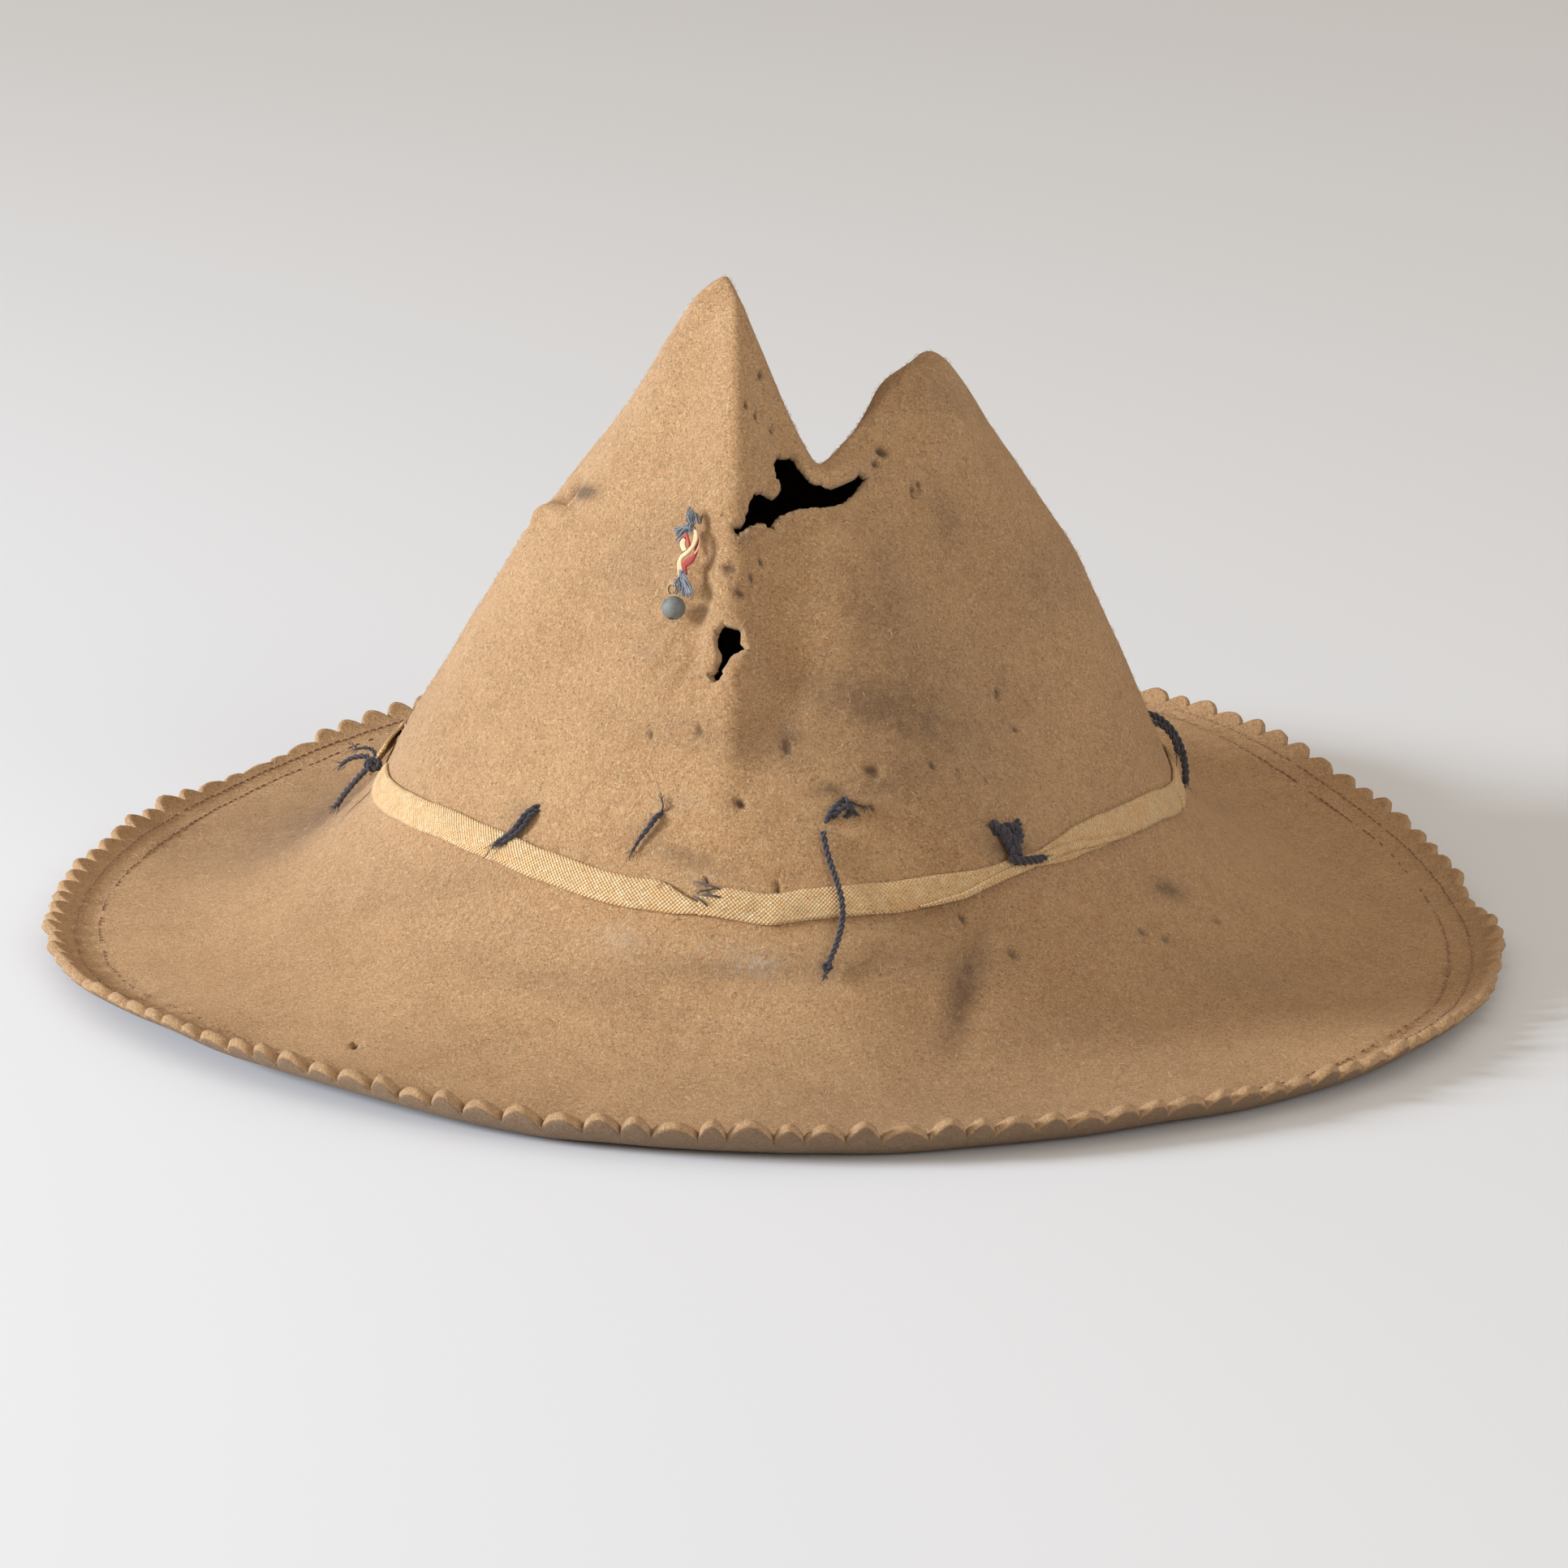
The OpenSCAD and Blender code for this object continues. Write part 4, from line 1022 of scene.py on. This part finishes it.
def buildYarn():
    rng = np.random.default_rng(21)
    wool = yarnFinish()
    thick = yarnLook["thick"]
    lie, over = thick / 2 + 0.2, thick / 2 + 1.2

    def piece(name, node, routes):
        bundle = Bundle()
        for route, settings in routes:
            addYarn(bundle, route, rng, **settings)
        made = bundle.piece(name, "felt_body", wool)
        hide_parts(node)

    def loop(centre, radius, tilt, turns=1.2):
        t = np.linspace(0, turns * 2 * np.pi, 22)
        across = np.stack([np.cos(t), np.sin(t) * math.cos(tilt), np.sin(t) * math.sin(tilt)], 1)
        return np.asarray(centre) + across * radius * (1 + 0.12 * np.sin(2.3 * t))[:, None]

    knot = np.array([-87.6, -1.5, 34.8])
    piece("yarnTieLeft", "yarn_tie_left", [
        (loop(knot, 1.3, 1.1), dict(fray=2)),
        (smoothRoute([knot, (-88.8, -1.5, 34), (-91.5, -0.6, 30.8), (-94, 0.4, 27.5), (-95.8, 1.2, 24.6)], 4),
         dict(fray=16, thick=1.5)),
        (smoothRoute([knot, (-88.8, 0.2, 36), (-90.8, 1.4, 35.8), (-93, 2.4, 34.9), (-94.6, 3, 33.6)], 4),
         dict(fray=18, taper=0.3)),
        (smoothRoute([knot + (0.6, 0.4, 0.4), (-87.6, 1.6, 37), (-89.6, 2.8, 37.4), (-91.6, 3.8, 36.8)], 4),
         dict(fray=12, taper=0.4, thick=1.1))])
    piece("yarnStubOuter", "yarn_stub_front_left_outer", [
        (overFelt([(229.9, 0.87, -0.3), (229.4, 0.888, lie + 0.7), (228.8, 0.905, lie + 0.9),
                   (228, 0.92, lie + 0.6)]), dict(fray=14, thick=1.5, taper=0.4)),
        (overFelt([(229.6, 0.872, -0.4), (229.3, 0.885, lie + 0.2), (228.6, 0.903, lie + 0.3),
                   (227.6, 0.92, lie + 0.3), (226.6, 0.937, over + 0.1)]), dict(fray=14)),
        (overFelt([(230.3, 0.875, -0.4), (230, 0.888, lie + 0.2), (229.4, 0.906, lie + 0.2),
                   (228.4, 0.921, lie + 0.4), (227.6, 0.932, lie + 0.6)]), dict(fray=14, taper=0.3))])
    piece("yarnStubInner", "yarn_stub_front_left_inner", [
        (overFelt([(252.2, 0.868, -0.5), (251.8, 0.876, lie + 0.3), (250.8, 0.888, lie + 0.2),
                   (249.8, 0.9, lie + 0.1), (249, 0.914, lie - 0.1)]), dict(fray=10, taper=0.55)),
        (overFelt([(252, 0.87, -0.4), (252.6, 0.862, lie), (252.2, 0.854, lie)], 5),
         dict(fray=6, thick=0.7, taper=0.6))])
    piece("yarnKnotFront", "yarn_knot_front", [
        (overFelt([(278.8, 0.866, 0.2), (280, 0.86, lie + 0.6), (281.4, 0.858, lie + 0.6),
                   (282.4, 0.864, 0.3)], 6),
         dict(fray=8, thick=1.7, taper=0.4)),
        (overFelt([(277.8, 0.872, -0.3), (278.6, 0.862, lie + 0.1), (279.8, 0.853, lie + 0.6),
                   (280.6, 0.849, lie)]),
         dict(fray=8)),
        (overFelt([(280.4, 0.846, lie + 0.2), (281.2, 0.852, lie + 0.5), (281.6, 0.862, lie),
                   (280.9, 0.868, -0.3)]),
         dict(fray=6, thick=1.5)),
        (overFelt([(280.6, 0.848, lie + 0.5), (282, 0.853, lie + 0.2), (283.6, 0.858, lie - 0.2)]),
         dict(fray=8, thick=0.9, taper=0.7))])
    piece("yarnTuftRight", "yarn_tuft_front_right", [
        (overFelt([(304.6, 0.915, lie), (306, 0.908, lie + 0.7), (307.6, 0.914, lie + 0.7),
                   (307.2, 0.926, lie + 0.9), (305.6, 0.93, lie + 0.7), (305.2, 0.92, lie + 0.6)], 6),
         dict(fray=14, thick=2.2, strays=30)),
        (overFelt([(303.8, 0.9, lie), (304.6, 0.91, lie + 0.8), (306.4, 0.932, lie + 1),
                   (306, 0.945, over)], 6),
         dict(fray=14, thick=2.2, strays=20)),
        (overFelt([(304.4, 0.912, -0.3), (304.2, 0.905, lie), (304.8, 0.914, lie + 0.5),
                   (305.2, 0.928, lie + 0.7), (305.4, 0.942, over)]), dict(fray=12, thick=1.9, strays=26)),
        (overFelt([(308.8, 0.9, lie - 0.2), (308.4, 0.906, lie + 0.2), (307.2, 0.915, lie + 0.6),
                   (306, 0.924, lie + 0.6)]), dict(fray=12, thick=1.8, strays=22)),
        (overFelt([(304.6, 0.946, over - 0.1), (306, 0.952, over + 0.5), (308.4, 0.953, over + 0.5),
                   (310.4, 0.952, over + 0.3)]), dict(fray=12, thick=2, strays=22))])
    piece("yarnLoopRight", "yarn_loop_right", [
        (overFelt([(3.4, 0.918, -0.3), (4.2, 0.928, lie + 0.6), (4.4, 0.946, over + 1.3),
                   (4, 0.966, over + 1.7), (3.2, 0.984, over + 0.9), (2.4, 0.996, over - 0.3)]),
         dict(fray=12, thick=1.8)),
        (overFelt([(2.6, 0.925, -0.3), (3.4, 0.936, lie + 0.8), (3.4, 0.952, over + 0.9),
                   (2.6, 0.966, over + 0.6)]),
         dict(fray=10))])
    for name, node, a in (("yarnTieBackLeft", "yarn_tie_back_left", 135),
                          ("yarnTieBackRight", "yarn_tie_back_right", 48)):
        piece(name, node, [
            (overFelt([(a + 0.6, 0.915, -0.4), (a + 0.2, 0.926, lie), (a - 0.4, 0.942, over),
                       (a - 1, 0.962, over + 0.3), (a - 1.8, 0.985, over)]), dict(fray=14)),
            (overFelt([(a + 1.2, 0.918, -0.4), (a + 1.4, 0.93, lie), (a + 1.8, 0.946, over)]),
             dict(fray=14, taper=0.3))])

    tail = Bundle()
    addYarn(tail, smoothRoute(tailRoute, 4), rng, fray=0, strays=0)
    tail = tail.piece("yarnTail", "felt_body", wool)
    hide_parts("yarn_tail_front")
    end = np.array(tailRoute[-1])
    ending = Bundle()
    addYarn(ending, loop(end + (-0.3, -0.3, -0.1), 0.75, 0.7, 1.6), rng, thick=1.2, fray=4, strays=4)
    below = smoothRoute([end, (11, -106.8, 20.9), (10.7, -108.2, 20.2)], 5)
    addYarn(ending, below, rng, thick=1.3, fray=16, taper=0.3)
    ending = ending.piece("yarnTailKnot", "felt_body", wool)
    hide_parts("yarn_tail_knot")
    fuzz = Bundle()
    for _ in range(46):
        i = rng.integers(0, len(tailRoute) - 1)
        p = mix(np.array(tailRoute[i]), np.array(tailRoute[i + 1]), rng.uniform())
        out = rng.normal(0, 1, 3)
        out /= np.linalg.norm(out)
        t = np.linspace(0, 1, 5)[:, None]
        fibre = p + out * 0.5 + out * t * rng.uniform(0.2, 0.8) + rng.normal(0, 0.4, 3) * t * t
        fuzz.tube(fibre, 0.06, 3, 0.7)
    fuzz = fuzz.piece("yarnTailFuzz", "felt_body", wool)
    report("yarn")


def yarnFinish():
    wool = Finish("navyYarn", 0.88, Sheen_Weight=0.35, Sheen_Roughness=0.4, Specular_IOR_Level=0.2)
    tone = wool.number("shade") * 0.6 + wool.ramp(wool.speckle(0.5, 3, 0.6), 0.3, 0.7) * 0.5
    wool.colour(wool.blend(tone.clamp(), linear(30, 29, 35), linear(92, 89, 98)))
    wool.bumps(wool.speckle(0.16, 3, 0.6, 0.6), 0.8, 0.15)
    return wool.material


# charm
charmLook = dict(stitchAt=(244.5, 0.5), endAt=(246.5, 0.61))
charmAt = onCrown(*np.array(charmLook["stitchAt"]))
charmEnd = onCrown(*np.array(charmLook["endAt"]))
charmDown = (charmEnd - charmAt) / np.linalg.norm(charmEnd - charmAt)
charmOut = normalOf(onCrown, *np.array(charmLook["stitchAt"]))
charmSide = np.cross(charmOut, charmDown)
charmSide /= np.linalg.norm(charmSide)
charmOut = np.cross(charmDown, charmSide)


def charmPoint(points):
    # points are across, down and out from the stitch, in mm
    points = np.atleast_2d(np.asarray(points, float))
    return charmAt + points[:, :1] * charmSide + points[:, 1:2] * charmDown + points[:, 2:3] * charmOut


def addTuft(bundle, rng, root, fans, count, thick=0.28):
    # a frayed end: flat threads that leave one root and spread towards the fans
    for i in range(count):
        aim = np.array(fans[i % len(fans)], float) + rng.normal(0, (0.35, 0.4, 0.22))
        start = np.array(root, float) + rng.normal(0, (0.3, 0.15, 0.22))
        belly = (start + aim) / 2 + rng.normal(0, (0.3, 0.2, 0.3))
        thread = charmPoint(smoothRoute([start, belly, aim], 5))
        bundle.tube(thread, thick * np.linspace(1.15, 0.45, 11), 5, rng.uniform())


def buildCharm():
    rng = np.random.default_rng(8)
    blue = threadFinish("ribbonBlue", (66, 72, 84), (146, 152, 162))
    red = threadFinish("ribbonRed", (128, 28, 34), (192, 66, 60))
    white = threadFinish("ribbonCream", (206, 150, 104), (250, 228, 190))

    def piece(name, body, bundle, finish, node, slotName):
        made = bundle.piece(name, body, finish)
        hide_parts(node)

    stitch = Bundle()
    t = np.radians(np.linspace(-70, 70, 12))
    for shift in (-0.25, 0.25):
        arc = np.stack([0 * t + 3.2 + shift, 5.2 - 2.4 * np.cos(t) - 0.4, 1.2 + 1.8 * np.sin(t)], 1)
        stitch.tube(charmPoint(arc), 0.42, 6, 0.4 + shift)
    # the threads above the hinge stay on the felt
    addTuft(stitch, rng, (3.9, 5.3, 2.5), [(2.2, 1.6, 2.4), (2.6, 2.8, 2.6), (3.6, 2.8, 2.6), (3, 2.2, 2.7),
                                           (2.8, 4, 3)], 40)
    piece("charmStitch", "felt_body", stitch, blue, "charm_stitch_loop", "ribbon_blue")
    top = Bundle()
    addTuft(top, rng, (4, 5.8, 3.1), [(-0.3, 6.7, 2.9), (0.7, 8.6, 2.8), (0.5, 7.4, 3), (1.4, 7.6, 3.1),
                                      (2.2, 6.8, 3.3)], 44)
    addTuft(top, rng, (3.6, 5.4, 3), [(4.4, 7.4, 3), (5, 7.6, 3)], 14)
    piece("charmTopTuft", "charm_knot", top, blue, "charm_upper_tuft", "ribbon_blue")

    def wound(name, finish, node, slotName, lanes):
        strand = Bundle()
        for route, thick, shade in lanes:
            strand.tube(charmPoint(smoothRoute(route, 6)), thick, 8, shade)
        piece(name, "charm_ribbon", strand, finish, node, slotName)

    # each lane is one thread of a strand: its route, its thickness and its shade
    wound("charmStrandCream", white, "charm_strand_white", "ribbon_white", [
        ([(3.4 - d * 0.3, 7.6, 2.6), (2.2 + d, 9, 2.9), (2.4 + d, 10.2, 3), (3.2 + d * 0.8, 11.3, 3)],
         0.6, 0.9 - d * 0.3) for d in (0, 0.4, 0.8)] + [
        ([(5 + d * 0.5, 6.9, 2.7), (5.5 + d * 0.8, 8.6, 2.9), (5.4 + d * 0.7, 10.5, 3.2),
          (4.4 + d * 0.3, 11.7 + d * 0.4, 3.3), (2.8 + d * 0.3, 12.5 + d * 0.5, 3.1),
          (2.1 + d * 0.8, 13.9, 2.9), (2.3 + d, 15.4, 2.7), (2.8 + d * 0.8, 17, 2.6)],
         0.5, 0.75 - d * 0.4) for d in (0, 0.42, 0.84)] + [
        ([(5.9, 7.3, 2.5), (6.6, 9.2, 2.5), (6.6, 11, 2.6), (6, 12.2, 2.7)], 0.42, 0.3)])
    wound("charmStrandRed", red, "charm_strand_red", "ribbon_red", [
        ([(2.8 + d * 0.4, 8.5, 3), (3.5 + d * 0.4, 7.9 + d * 0.4, 3.5), (4.3 + d * 0.3, 9.2, 3.5),
          (4.4 + d * 0.4, 10.4, 3)], 0.6, 0.95 - d * 0.6) for d in (0, 0.5)] + [
        ([(5.7 + d * 0.5, 8.6, 2.5), (6 + d * 0.4, 10.4, 2.5), (6 + d * 0.2, 12, 2.5),
          (5.2 + d * 0.4, 13.2 + d * 0.5, 2.6), (3.9 + d * 0.4, 13.8 + d * 0.6, 2.6),
          (3.3 + d * 0.6, 15, 2.5), (3.9 + d * 0.5, 16.4, 2.5)], 0.58, 0.6 - d * 0.5)
        for d in (-0.5, 0, 0.5, 1)])
    wound("charmStrandBlue", blue, "charm_strand_blue", "ribbon_blue", [
        ([(2.5 + d * 0.5, 15.2, 2.7), (3.3 + d, 17.2, 2.8), (4.6 + d, 19.2, 2.8), (5.9 + d, 21, 2.8)],
         0.5, 0.6 + d * 0.3) for d in (0, 0.4, 0.8)])
    low = Bundle()
    addTuft(low, rng, (3.3, 16, 2.7), [(7.1, 20.8, 2.8), (6.4, 21.9, 2.6), (4.8, 21, 2.7), (3.4, 20.4, 2.7),
                                       (5.6, 21.4, 2.8)], 44, 0.34)
    addTuft(low, rng, (3, 17.6, 2.9), [(1.6, 18.2, 2.9), (2.6, 19.6, 3)], 10, 0.3)
    piece("charmLowTuft", "charm_ribbon", low, blue, "charm_lower_tuft", "ribbon_blue")
    eye = Bundle()
    t = np.radians(np.linspace(-160, 160, 26))
    for wide in (0, 0.22):
        ring = np.stack([1.3 + (1 + wide * 0.5) * np.sin(t), 18.1 + 1.3 - np.cos(t) * (1 + wide),
                         2.6 + wide + 0 * t], 1)
        eye.tube(charmPoint(ring), 0.3, 8, 0.5)
    piece("charmEye", "charm_drop", eye, wireFinish(), "charm_wire_eye", "charm_wire")
    report("charm")


def threadFinish(name, dark, light):
    silk = Finish(name, 0.62, Sheen_Weight=0.4, Specular_IOR_Level=0.35)
    tone = silk.number("shade") * 0.7 + silk.ramp(silk.speckle(0.4, 3, 0.6), 0.3, 0.7) * 0.4
    silk.colour(silk.blend(tone.clamp(), linear(*dark), linear(*light)))
    silk.bumps(silk.speckle(0.12, 3, 0.6, 0.5), 0.6, 0.1)
    return silk.material


def wireFinish():
    wire = Finish("charmWire", 0.42, Metallic=0.85)
    tone = wire.ramp(wire.speckle(0.6, 3, 0.6), 0.35, 0.7)
    wire.colour(wire.blend(tone, linear(120, 104, 84), linear(206, 186, 150)))
    wire.rough(0.35 + tone * 0.3)
    return wire.material


beadLook = dict(hole=0.55, moved=(0.7, 0.8, 0.5), around=48)


def buildBead():
    # a turned bead with a hole from top to bottom
    low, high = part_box("charm_bead")
    side, down, out = beadLook["moved"]
    centre = (np.array(low) + np.array(high)) / 2 / mm + side * charmSide + down * charmDown + out * charmOut
    radius, hole, around = (high[0] - low[0]) / 2 / mm, beadLook["hole"], beadLook["around"]
    bore = [(hole, t) for t in np.linspace(-1, 1, 7)[1:-1] * (radius * 0.9)]
    mouth = math.asin(hole / radius)
    t = np.linspace(mouth + 0.12, math.pi - mouth - 0.12, 30)
    outer = [(radius * math.sin(x), radius * math.cos(x)) for x in t]
    lip = radius * math.cos(mouth + 0.02)
    profile = [(hole + 0.1, lip), *outer, (hole + 0.1, -lip), (hole, -lip + 0.2), *bore, (hole, lip - 0.2)]
    rings = []
    angle = np.arange(around) * 2 * np.pi / around
    for r, h in profile:
        spin = (np.cos(angle)[:, None] * charmSide + np.sin(angle)[:, None] * charmOut) * r
        rings.append(centre + spin - charmDown * h)
    m = len(profile)
    faces = np.concatenate([quadsBetween(i * around, (i + 1) % m * around, around) for i in range(m)])
    made = makeMesh("charmBead", np.concatenate(rings), faces[:, ::-1], "charm_drop", beadFinish())
    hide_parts("charm_bead")
    report("bead")


def beadFinish():
    bead = Finish("slateBead", 0.6, Specular_IOR_Level=0.4)
    tone = bead.ramp(bead.speckle(2.2, 4, 0.6), 0.3, 0.7)
    chips = bead.ramp(bead.speckle(0.5, 3, 0.6), 0.62, 0.7)
    base = bead.blend(tone, linear(92, 98, 104), linear(132, 136, 132))
    bead.colour(bead.blend(chips * 0.35, base, linear(168, 160, 140)))
    bead.rough(0.5 + tone * 0.2)
    bead.bumps(bead.speckle(0.5, 3, 0.6), 0.35, 0.15)
    return bead.material


# stitches
def threadPaint(name, dark, light):
    # sewing thread, duller than the ribbon's silk
    thread = Finish(name, 0.8, Sheen_Weight=0.2)
    tone = thread.number("shade") * 0.6 + thread.ramp(thread.speckle(0.5, 3, 0.6), 0.3, 0.7) * 0.4
    thread.colour(thread.blend(tone.clamp(), linear(*dark), linear(*light)))
    thread.bumps(thread.speckle(0.2, 2, 0.6, 0.5), 0.6, 0.1)
    return thread.material


rowLook = dict(outer=6.0, gap=5.0, pitch=2.3, thick=0.42, length=0.78, missing=0.06, aroundRadius=165)


def buildEdgeStitches():
    # each row is a line of short stitches that dip into the felt; here and there one has broken
    rng = np.random.default_rng(4)
    thread = threadPaint("sewingThread", (132, 96, 72), (176, 136, 104))
    look = rowLook
    for name, node, inset in (("stitchRowOuter", "edge_stitching_outer", look["outer"]),
                              ("stitchRowInner", "edge_stitching_inner", look["outer"] + look["gap"])):
        row = Bundle()
        count = int(2 * math.pi * look["aroundRadius"] / look["pitch"])
        for k in range(count):
            if rng.uniform() < look["missing"]:
                continue
            a0 = 360 * (k + 0.08 + rng.normal(0, 0.02)) / count
            a = a0 + np.array([0, 0.12, 0.5, 0.88, 1]) * 360 * look["length"] / count
            s = stationFromEdge(a, inset + rng.normal(0, 0.08))
            p, _ = onFelt(a, s, np.array([-0.25, 0.05, 0.16, 0.05, -0.25]))
            row.tube(smoothRoute(p, 2), look["thick"], 5, rng.uniform())
        made = row.piece(name, "felt_body", thread)
        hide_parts(node)
    report("edge stitches")


def stationFromEdge(a, inset):
    # the station that lies inset mm in from the brim's edge
    e = feltSize["curl"] - inset
    if e >= 0:
        return np.full_like(a, 2 + e / feltSize["curl"])
    flat = np.linalg.norm(onBrim(a, np.full_like(a, 2.0)) - onBrim(a, np.full_like(a, 1.0)), axis=-1)
    return 2 + e / flat


# each tack runs from one angle to the other and leans
tackRuns = [(258.8, 262.6, 0.004), (259.4, 262, -0.003), (260.2, 263, 0.001), (259, 261.4, 0.006)]


def buildTacks():
    rng = np.random.default_rng(6)
    tacks = Bundle()
    for k, (a0, a1, lean) in enumerate(tackRuns):
        a = np.linspace(a0, a1, 5)
        r = 0.952 + 0.006 * k + lean * np.linspace(-1, 1, 5)
        p, _ = onFelt(a, r, np.array([0.6, 1.4, 1.7, 1.4, 0.6]))
        tacks.tube(smoothRoute(p, 3), 0.45, 6, rng.uniform())
    for _ in range(12):
        p, n = onFelt(260.5 + rng.normal(0, 0.8), 0.957 + rng.normal(0, 0.004), 1.3)
        bend = rng.normal(0, 0.8, 3)
        t = np.linspace(0, 1, 5)[:, None]
        tacks.tube(p + t * (n + bend * 0.6) * rng.uniform(0.4, 1.1), 0.1, 4, rng.uniform())
    made = tacks.piece("tackStitches", "felt_body", threadPaint("darkThread", (58, 54, 54), (120, 110, 100)))
    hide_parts("band_tack_stitches")
    report("tacks")


# sweatband, inside the crown
# low and high are where its edges lie up the crown
sweatLook = dict(low=0.985, high=0.985 - 32 / (1.13 * 120), thick=1.3, rows=26, around=320,
                 reed=1.8, stitches=88, tabWide=5.0, tabThick=0.9, tabRows=25, tabCols=9)


def underCrown(a, s, depth):
    # depth is measured straight down from the inner face of the felt
    a, s = np.broadcast_arrays(np.asarray(a, float), np.asarray(s, float))
    p, n = onFelt(a.ravel(), s.ravel())
    p[:, 2] -= (feltSize["thick"] + np.broadcast_to(depth, a.shape).ravel()) * steepness(n)
    return p


def buildSweatband():
    look = sweatLook
    hide = leatherFinish()
    n, m = look["around"], look["rows"]
    a = np.arange(n) * 360 / n
    rows = []
    for inner in (False, True):
        for i in (range(m, -1, -1) if inner else range(m + 1)):
            t = i / m
            wave = 0.35 * noise(np.stack([a / 9, 0 * a + t * 3, 0 * a], 1), 31) * t
            fat = look["thick"] * (0.55 + 0.45 * math.sin(math.pi * min(1, 4 * min(t, 1 - t) + 0.15) / 2))
            uneven = 0.0015 * noise(np.stack([a / 5, 0 * a, 0 * a], 1), 32) * t
            reach = mix(look["low"], look["high"], t) + uneven
            rows.append(underCrown(a, reach, 0.5 + np.maximum(wave, -0.1) + (fat if inner else 0)))
    total = len(rows)
    faces = np.concatenate([quadsBetween(i * n, (i + 1) % total * n, n) for i in range(total)])
    band = makeMesh("sweatband", np.concatenate(rows), faces[:, ::-1], "felt_body", hide)
    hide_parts("sweatband")
    buildReed()
    buildSeamTab(hide)
    buildBandStitches()
    report("sweatband")


def buildReed():
    # a ring of cane under the band's lower edge
    look = sweatLook
    n, sides = look["around"], 10
    t = np.arange(n + 1) * 360 / n
    centre = underCrown(t, np.full(n + 1, look["low"]), look["thick"])
    centre[:, 2] -= look["reed"] / 2 + 0.2
    spin = np.arange(sides) * 2 * np.pi / sides
    up = np.array([0, 0, 1])
    rings = []
    for i in range(n):
        out = np.array([math.cos(math.radians(t[i])), math.sin(math.radians(t[i])), 0])
        ring = np.cos(spin)[:, None] * out + np.sin(spin)[:, None] * up
        rings.append(centre[i] + ring * look["reed"] / 2)
    quads = np.concatenate([quadsBetween(i * sides, (i + 1) % n * sides, sides) for i in range(n)])
    made = makeMesh("sweatbandReed", np.concatenate(rings), quads, "felt_body", reedFinish())
    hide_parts("sweatband_reed")


def buildSeamTab(hide):
    # the strip of leather over the seam at the back
    look = sweatLook
    n, m = look["tabRows"], look["tabCols"]
    across = 90 + np.linspace(-0.5, 0.5, m) * look["tabWide"]
    bulge = 0.5 * np.sin(np.linspace(0, np.pi, m)) ** 0.5
    rows = []
    for i in range(n):
        reach = mix(look["low"] - 0.012, look["high"] + 0.01, i / (n - 1))
        rows.append(underCrown(across, np.full(m, reach), look["thick"] + look["tabThick"] + bulge))
    face = np.concatenate(rows)
    points = np.concatenate([face, face + (0, 0, look["tabThick"])])
    tab = makeMesh("sweatbandSeam", points, sheetFaces(n, m)[:, ::-1], "felt_body", hide)
    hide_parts("sweatband_back_seam")


def buildBandStitches():
    look = sweatLook
    stitches = Bundle()
    rng = np.random.default_rng(12)
    for i in range(look["stitches"]):
        a0 = 360 * (i + 0.5) / look["stitches"]
        if abs(turn(a0, 90)) < 4:
            continue
        p = underCrown(a0 + np.linspace(-1.2, 1.2, 5), np.full(5, look["low"] - 0.03),
                       look["thick"] + 0.5 + np.array([-0.2, 0.25, 0.4, 0.25, -0.2]))
        stitches.tube(smoothRoute(p, 2), 0.6, 6, rng.uniform())
    thread = threadPaint("bandThread", (150, 120, 84), (204, 176, 134))
    made = stitches.piece("sweatbandStitches", "felt_body", thread)
    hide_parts("sweatband_stitches")


def leatherFinish():
    hide = Finish("sweatLeather", 0.55, Specular_IOR_Level=0.4)
    tone = hide.ramp(hide.speckle(14, 5, 0.6), 0.3, 0.7)
    grain = hide.node("TexVoronoi", {}, {"Vector": hide.places(), "Scale": 1 / (1.1 * mm)})
    dark = hide.ramp(hide.speckle(6, 5, 0.65), 0.5, 0.72)
    base = hide.blend(tone, linear(86, 52, 30), linear(132, 86, 52))
    hide.colour(hide.blend(dark * 0.7, base, linear(48, 30, 20)))
    hide.rough(0.42 + tone * 0.25)
    hide.bumps(grain * 0.7 + hide.speckle(0.5, 3) * 0.5, 0.5, 0.25)
    return hide.material


def reedFinish():
    cane = Finish("reedCane", 0.5)
    tone = cane.ramp(cane.speckle(1.2, 4, 0.6, 0.4), 0.3, 0.7)
    cane.colour(cane.blend(tone, linear(150, 108, 64), linear(200, 158, 104)))
    cane.bumps(cane.speckle(0.6, 3), 0.4, 0.15)
    return cane.material


buildFelt()
buildFuzz()
buildTapes()
buildTacks()
buildYarn()
buildCharm()
buildBead()
buildEdgeStitches()
buildSweatband()
